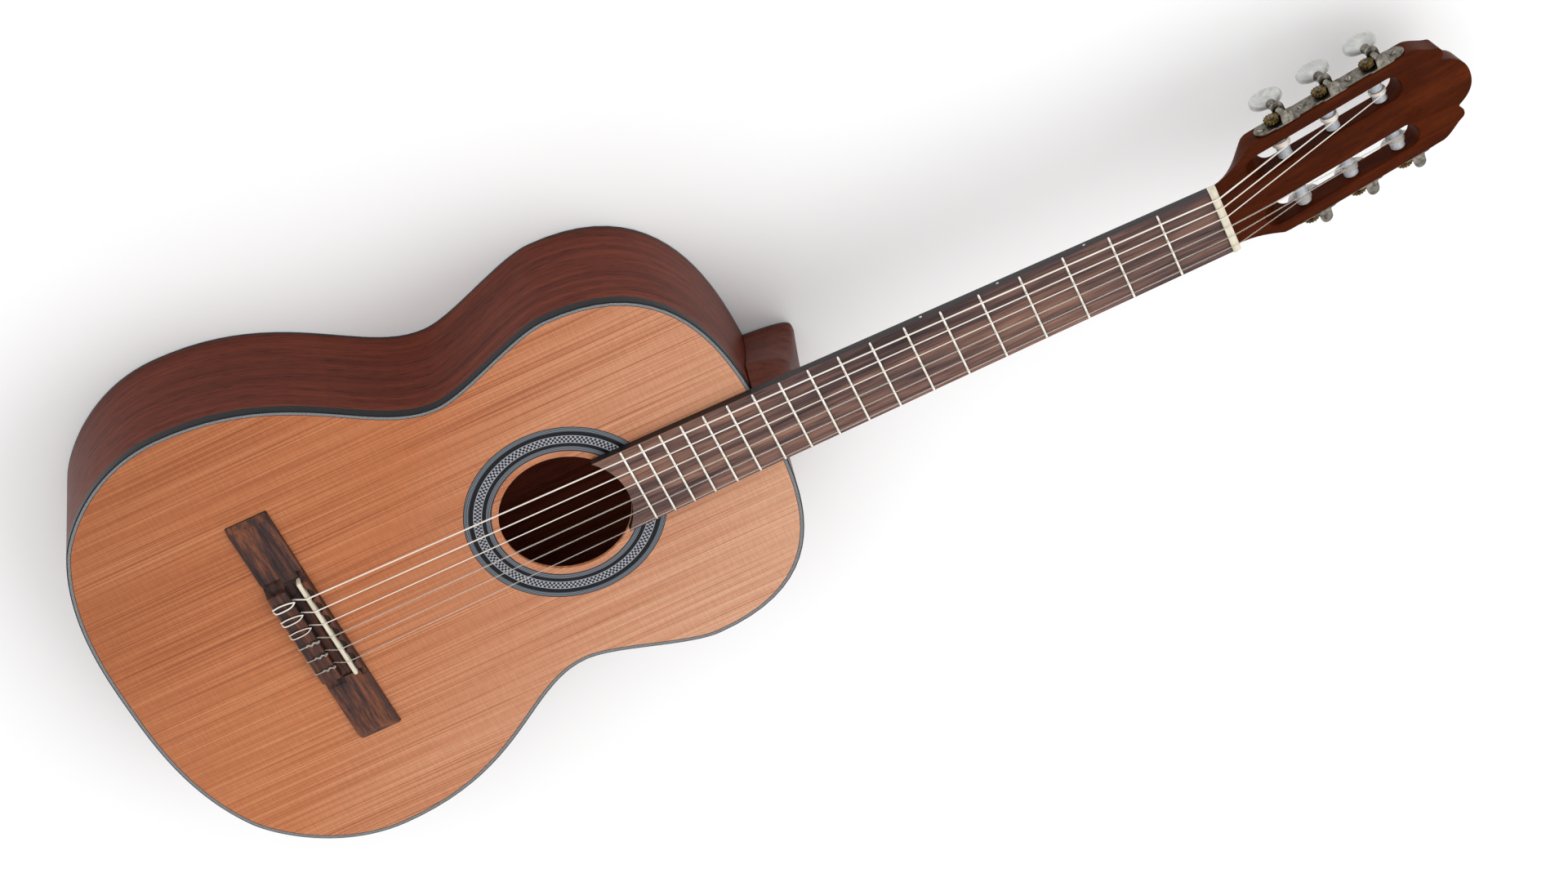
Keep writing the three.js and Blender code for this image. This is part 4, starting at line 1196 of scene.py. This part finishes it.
def gear_loop(inset, x, s, lean):
    """The gear's outline with narrow teeth, turned by lean to follow the thread."""
    tip = CENTRE_DISTANCE - (WORM_RADIUS - THREAD_OFFSET) - TOOTH["tip_clearance"] - inset
    root = CENTRE_DISTANCE - (WORM_RADIUS + THREAD_OFFSET) - TOOTH["root_clearance"] - inset
    flank_half = mix(TOOTH["root_half"], TOOTH["tip_half"], 0.5)
    flank = [(root, TOOTH["root_half"]), (mix(root, tip, 0.55), flank_half), (tip, TOOTH["tip_half"])]
    corners = [(out, -along) for out, along in flank] + flank[::-1]
    loop = []
    for tooth in range(TEETH):
        angle = 2 * math.pi * tooth / TEETH + lean
        for out, along in corners:
            ahead = out * math.cos(angle) - along * math.sin(angle)
            up = out * math.sin(angle) + along * math.cos(angle)
            loop.append(on_head(x, s + ahead, up - ROLLER_DEPTH))
    return loop


def make_gear(string):
    """The brass gear with its hub and boss, and the screw that holds it on the axle."""
    side, s, _ = machine_of(string)
    body = f"post_{string}"
    lean = 1 / (TEETH * WORM_RADIUS)
    sections = []
    for offset, inset in ((-1, 0.25), (-0.8, 0), (0, 0), (0.8, 0), (1, 0.25)):
        across = offset * GEAR_HALF_WIDTH
        sections.append(gear_loop(inset, side * GEAR_X + across, s, lean * across))
    origin = on_head(side * GEAR_X, s, -ROLLER_DEPTH)
    axis = (side, 0, 0)
    hub = rod(SHAFT_RADIUS, PLATE["outside"] + GAP - GEAR_X, 0, origin, axis)
    face = GEAR_HALF_WIDTH
    end = face + BOSS["height"]
    radius = BOSS["radius"]
    boss = [(0, 0), (radius, 0), (radius, face + 0.25), (radius - 0.3, end), (0, end)]
    wheel = merged([loft(sections), hub, turned(boss, origin, axis)])
    replace(f"gear_{string}", wheel, "brass", body)
    seat = (side * (GEAR_X + end), s, -ROLLER_DEPTH)
    make_screw(f"gear_screw_{string}", "nickel", seat, 0.9 * string, GEAR_SCREW_RADIUS, body)


def worm_thread(x, s):
    """The thread: a round core carried round the worm's axis."""
    ring = circle(WORM_RADIUS, 24)
    sections = []
    for along in spread(-THREAD_LENGTH / 2, THREAD_LENGTH / 2, 90):
        angle = math.pi / 2 + 2 * math.pi * along / THREAD_LEAD
        core_x = x + THREAD_OFFSET * math.cos(angle)
        core_s = s + THREAD_OFFSET * math.sin(angle)
        sections.append([on_head(core_x + a, core_s + b, along - ROLLER_DEPTH) for a, b in ring])
    return loft(sections)


def make_worm(string):
    """The worm and its shaft, with the round collar between the lower ear and the button."""
    side, s, _ = machine_of(string)
    origin = on_head(side * GEAR_X, s + CENTRE_DISTANCE, -ROLLER_DEPTH)
    ear_outside = EAR["half_span"]
    ear_inside = ear_outside - EAR["thickness"] - EAR_CLEARANCE
    core = WORM_RADIUS - THREAD_OFFSET - 0.1
    shaft, journal = WORM_SHAFT["radius"], WORM_SHAFT["journal"]
    foot = BUTTON_TOP - WORM_SHAFT["in_button"]
    collar = [
        (shaft, 4.6), (2.6, 4.4), (3.2, 3.7), (3.3, 2.6), (3.1, 1.5), (2.5, 1), (shaft, 0.9)]
    profile = [
        (0, foot), (shaft, foot), *[(radius, -ear_outside - below) for radius, below in collar],
        (shaft, -ear_inside), (core, -ear_inside), (core, ear_inside), (journal, ear_inside),
        (journal, ear_outside - 0.4), (journal - 0.3, ear_outside - 0.1), (0, ear_outside - 0.05),
    ]
    worm = [worm_thread(side * GEAR_X, s + CENTRE_DISTANCE), turned(profile, origin, HEAD_NORMAL, 24)]
    replace(f"worm_shaft_{string}", merged(worm), "bright_nickel", f"key_{string}")


def make_ferrule(string):
    """The metal cap where the shaft goes into the button."""
    side, s, _ = machine_of(string)
    origin = on_head(side * GEAR_X, s + CENTRE_DISTANCE, BUTTON_TOP - ROLLER_DEPTH)
    profile = [(0, -1), (3.5, -1), (3.5, 0.2), (3.0, 0.6), (2.4, 1.8), (2.1, 2.6), (0, 2.6)]
    cap = turned(profile, origin, HEAD_NORMAL, 28)
    add_piece(f"ferrule_{string}", cap, "nickel", f"key_{string}")


def make_button(string):
    """An oval pearl button with round edges and a shallow dish in each face."""
    side, s, _ = machine_of(string)
    depth = ROLLER_DEPTH + BUTTON["below"]
    half = BUTTON["half_thick"]
    edge = [
        ((half - 0.5) * math.sin(turn), BUTTON["rounding"] * (1 - math.cos(turn)))
        for turn in spread(-math.pi / 2, math.pi / 2, 17)]
    dish = [(half, 4.1), (half - 0.15, 4.9), (half - 0.6, 5.8), (half - 0.8, 7.5)]
    other_dish = [(-out, inset) for out, inset in reversed(dish)]
    rings = []
    for out, inset in other_dish + edge + dish:
        x = side * GEAR_X + out
        long = BUTTON["half_long"] - inset
        short = BUTTON["half_short"] - inset
        middle = s + CENTRE_DISTANCE
        rings.append([on_head(x, middle + long * a, short * b - depth) for a, b in circle(1, 48)])
    replace(f"button_{string}", loft(rings), "pearl", f"key_{string}")


def make_winding(string):
    """The string's turns round its roller, tight beside each other."""
    side, s, landing = machine_of(string)
    radius = STRING_RADII[string - 1]
    coil = ROLLER_RADIUS + STRING_LIFT + radius
    turns = WINDING["treble_turns"] if string in TREBLES else WINDING["bass_turns"]
    width = side * WINDING["pitch"] * radius * turns
    steps = int(turns * WINDING["steps"])
    path = []
    for share in spread(0, 1, steps + 1):
        angle = math.pi / 2 - 2 * math.pi * turns * share
        x = landing + width * share
        path.append(on_head(x, s + coil * math.cos(angle), coil * math.sin(angle) - ROLLER_DEPTH))
    add_piece(f"winding_{string}", tube(path, radius, 10), string_finish(string), f"post_{string}")


# ---- Bridge ----


def scoop_height(x):
    """Height of the round hollow that ends the lip and the tie block over each wing."""
    away = (abs(x) - BRIDGE["scoop_at"]) / BRIDGE["scoop_radius"]
    if abs(away) >= 1:
        return math.inf
    return BRIDGE["scoop_floor"] + BRIDGE["scoop_radius"] * (1 - math.sqrt(1 - away * away))


def wing_height(x):
    """The wings are slightly dished and fall steeply at their tips."""
    from_tip = BRIDGE["half"] - abs(x)
    from_block = abs(x) - BRIDGE["block_half"]
    dish = BRIDGE["dish"] * smooth_step(6, 20, from_tip) * smooth_step(0, 20, from_block)
    return mix(BRIDGE["tip"], BRIDGE["wing"], min(from_tip / BRIDGE["tip_run"], 1)) - dish


def wing_profile(x):
    """The bridge's section at x on a wing."""
    front, back = BRIDGE["front"], BRIDGE["back"]
    top = min(wing_height(x), scoop_height(x))
    places = [(front, top * 0.7), *[(y, top - rim_fall(front - y)) for y in lip_places()]]
    places += [(y, wing_height(x)) for y in trough_places()]
    places += [(y, top - rim_fall(y - back)) for y in tie_places()]
    return [place(x, y, z) for y, z in [(front, 0), *places, (back, 0)]]


def block_profile(x):
    """The section at x on the block: lip, saddle slot, trough and tie block."""
    front, back = BRIDGE["front"], BRIDGE["back"]
    near = min(abs(x - string_across(string, SPACING_AT_SADDLE)) for string in STRINGS)
    hollow = scoop_height(x)
    slot_front = lip_places()[-1]
    places = [(front, min(BRIDGE["lip"], hollow) * 0.7)]
    for y in lip_places():
        in_arch = math.hypot(near / LIP_ARCH["half"], (y - slot_front) / LIP_ARCH["reach"])
        arch = LIP_ARCH["depth"] * smooth_step(1.06, 0.9, in_arch)
        places.append((y, min(BRIDGE["lip"] - rim_fall(front - y), hollow) - arch))
    low = SADDLE["foot"] - 0.1
    for y, z in zip(trough_places(), (low, low, 6.6, 5, low + 0.3, low + 0.3)):
        places.append((y, max(min(z, hollow), low)))
    notch = NOTCH["depth"] * max(0, 1 - (near / NOTCH["half"]) ** 4)
    for y, cut in zip(tie_places(), (0.7 + notch, 0.9 * notch, 0, 0, 0, 0)):
        places.append((y, min(BRIDGE["block"] - cut - rim_fall(y - back), hollow)))
    return [place(x, y, z) for y, z in [(front, 0), *places, (back, 0)]]


def rim_fall(from_rim):
    """How far a rounded rim has dropped at a distance from the bridge's long edge."""
    return 1.2 * smooth_step(1.7, 0, from_rim)


def lip_places():
    """Places across the lip, from the front edge to the saddle slot."""
    return spread(BRIDGE["front"] - 0.3, SADDLE["at"] + SADDLE["half_thick"] + 0.3, 10)


def trough_places():
    """Places over the saddle slot and the trough, as far as the tie block."""
    slot_front = SADDLE["at"] + SADDLE["half_thick"] + 0.29
    slot_back = SADDLE["at"] - SADDLE["half_thick"] - 0.3
    return [slot_front, slot_back, slot_back - 0.01, slot_back - 1.6, slot_back - 3, TIE_FACE + 0.3]


def tie_places():
    """Places across the tie block, from its face to the back edge."""
    back = BRIDGE["back"]
    return [TIE_FACE, TIE_FACE - 0.6, TIE_FACE - 3.4, back + 1.6, back + 0.5, back]


def make_bridge():
    """The bridge as sections from wing tip to wing tip, with its six tie holes."""
    half, block = BRIDGE["half"], BRIDGE["block_half"]
    wing = spread(half, half - BRIDGE["tip_run"], 12) + spread(half - 7, block + 9, 24)
    wing += spread(block + 8.6, block + 0.02, 40)
    middle = spread(-block, block, 221)
    sections = [wing_profile(-x) for x in wing]
    sections += [block_profile(x) for x in middle]
    sections += [wing_profile(x) for x in wing[::-1]]
    bridge = replace("bridge", loft(sections), "rosewood_bridge")
    holes = []
    length = BRIDGE["front"] - BRIDGE["back"] - 10
    for string in STRINGS:
        origin = place(string_across(string, SPACING_AT_SADDLE), TIE_FACE + 2, TIE_HOLE_HEIGHT)
        drill = [(TIE_HOLE_RADIUS, 0), (TIE_HOLE_RADIUS, length)]
        holes.append(turned(drill, origin, (0, -1, 0), 16))
    carve(bridge, merged(holes))


def make_saddle():
    """A bone saddle with a round crest and round ends."""
    foot, rounding, end_run = SADDLE["foot"], SADDLE["rounding"], SADDLE["end_run"]
    sections = []
    for x in spread(-SADDLE["half"], SADDLE["half"], 240):
        into_end = max(0, (abs(x) - SADDLE["half"] + end_run) / end_run)
        end = math.sqrt(max(0, 1 - into_end ** 2))
        wide = SADDLE["half_thick"] * mix(0.5, 1, end)
        springing = SADDLE["top"] - rounding * (2 - end)
        arch = [(out, springing + up) for out, up in half_round(wide, rounding, 9)]
        outline = [(wide, foot), *arch, (-wide, foot)]
        sections.append([place(x, SADDLE["at"] + out, z) for out, z in outline])
    replace("saddle", loft(sections), "bone")


# ---- Strings ----


def string_finish(string):
    return "nylon" if string in TREBLES else "wound_string"


def string_route(string):
    """The taut route from the tie block over saddle and nut to the top of the roller."""
    radius = STRING_RADII[string - 1]
    at_saddle = string_across(string, SPACING_AT_SADDLE)
    at_nut = string_across(string, SPACING_AT_NUT)
    _, machine_s, landing = machine_of(string)
    crest = SADDLE["top"] + STRING_LIFT + radius
    over_nut = NUT_HEIGHT + STRING_LIFT + radius
    over_roller = -ROLLER_DEPTH + ROLLER_RADIUS + STRING_LIFT + radius
    return [
        place(at_saddle, TIE_FACE - 3, TIE_HOLE_HEIGHT),
        place(at_saddle, TIE_FACE + 0.8, TIE_HOLE_HEIGHT),
        place(at_saddle, SADDLE["at"] - 0.6, crest),
        place(at_saddle, SADDLE["at"] + 0.6, crest),
        place(at_nut, 0.6, over_nut),
        place(at_nut, NUT_LENGTH - 0.6, over_nut),
        on_head(landing, machine_s, over_roller),
    ]


# Knots on the tie block, as (across, place from the tie face towards the tail, height)
LOOP_KNOT = [
    (0, 12.5, 5), (0, 14.1, 5.1), (-0.6, 14.5, 7), (-1.6, 13.8, 9.5), (-2.3, 9, 9.8), (-1.9, 3, 9.8),
    (-0.5, -0.9, 9.2), (0.5, -0.9, 8.6), (1.9, 2.6, 9.8), (2.5, 8, 9.8), (2.2, 13, 9.8),
    (1.3, 14.5, 8.2), (0.9, 14.6, 6.4),
]


def twist_knot():
    """A short tie: over the block, and back with two turns round itself."""
    knot = [
        (0, 12.5, 5), (0, 14.1, 5.1), (0.1, 14.4, 7.6), (0.1, 13.4, 9.6), (0.1, 7, 9.7),
        (0, 0.4, 9.7), (0, -0.9, 9.1), (0.1, -1.4, 9.6), (0.2, -1, 10.3),
    ]
    for share in spread(0, 1, 25)[1:]:
        turn = 4 * math.pi * share
        knot.append((0.9 * math.sin(turn), mix(-0.6, 8.2, share), 10.05 + 0.4 * math.cos(turn)))
    return knot


def make_string(string):
    """The taut string, and the knot that ties it at the bridge."""
    radius = STRING_RADII[string - 1]
    finish = string_finish(string)
    replace(f"string_{string}", tube(string_route(string), radius, 16), finish)
    across = string_across(string, SPACING_AT_SADDLE)
    knot = twist_knot() if string in TREBLES else LOOP_KNOT
    path = smooth_path([place(across + x, TIE_FACE - back, z) for x, back, z in knot])
    add_piece(f"tie_{string}", tube(path, radius, 12), finish)


# ---- Studio ----


def make_floor():
    size = 12
    floor_mesh = bpy.data.meshes.new("floor")
    corners = [(-size, -size, 0), (size, -size, 0), (size, size, 0), (-size, size, 0)]
    floor_mesh.from_pydata(corners, [], [(0, 1, 2, 3)])
    floor_mesh.materials.append(FINISHES["studio_floor"])
    add_object("floor", floor_mesh)


def add_softbox(name, position, target, size, power):
    light_data = bpy.data.lights.new(name, "AREA")
    light_data.shape = "DISK"
    light_data.size = size
    light_data.energy = power
    light = add_object(name, light_data)
    light.location = position
    light.rotation_euler = (Vector(target) - Vector(position)).to_track_quat("-Z", "Y").to_euler()


def make_studio():
    """A pale floor under a white sky, with two soft lamps."""
    make_floor()
    world = bpy.data.worlds.new("studio")
    world.use_nodes = True
    background = world.node_tree.nodes["Background"]
    background.inputs["Color"].default_value = (1, 1, 1, 1)
    background.inputs["Strength"].default_value = 0.95
    bpy.context.scene.world = world
    add_softbox("key", (0.9, 1.6, 2.6), (0, 0, 0), 2.6, 22)
    add_softbox("fill", (-1.8, -1.2, 2.2), (0, 0, 0), 2.6, 6)
    bpy.context.scene.view_settings.view_transform = "Standard"


# ---- Making ----

make_top()
make_rosette()
make_bindings()
make_back()
make_sides()
dress_inside()
make_neck()
make_heel_cap()
make_fingerboard()
make_frets()
make_side_dots()
make_nut()
make_headstock()
make_plates()
make_bridge()
make_saddle()
for string_number in STRINGS:
    make_roller(string_number)
    make_gear(string_number)
    make_worm(string_number)
    make_ferrule(string_number)
    make_button(string_number)
    make_winding(string_number)
    make_string(string_number)
make_studio()
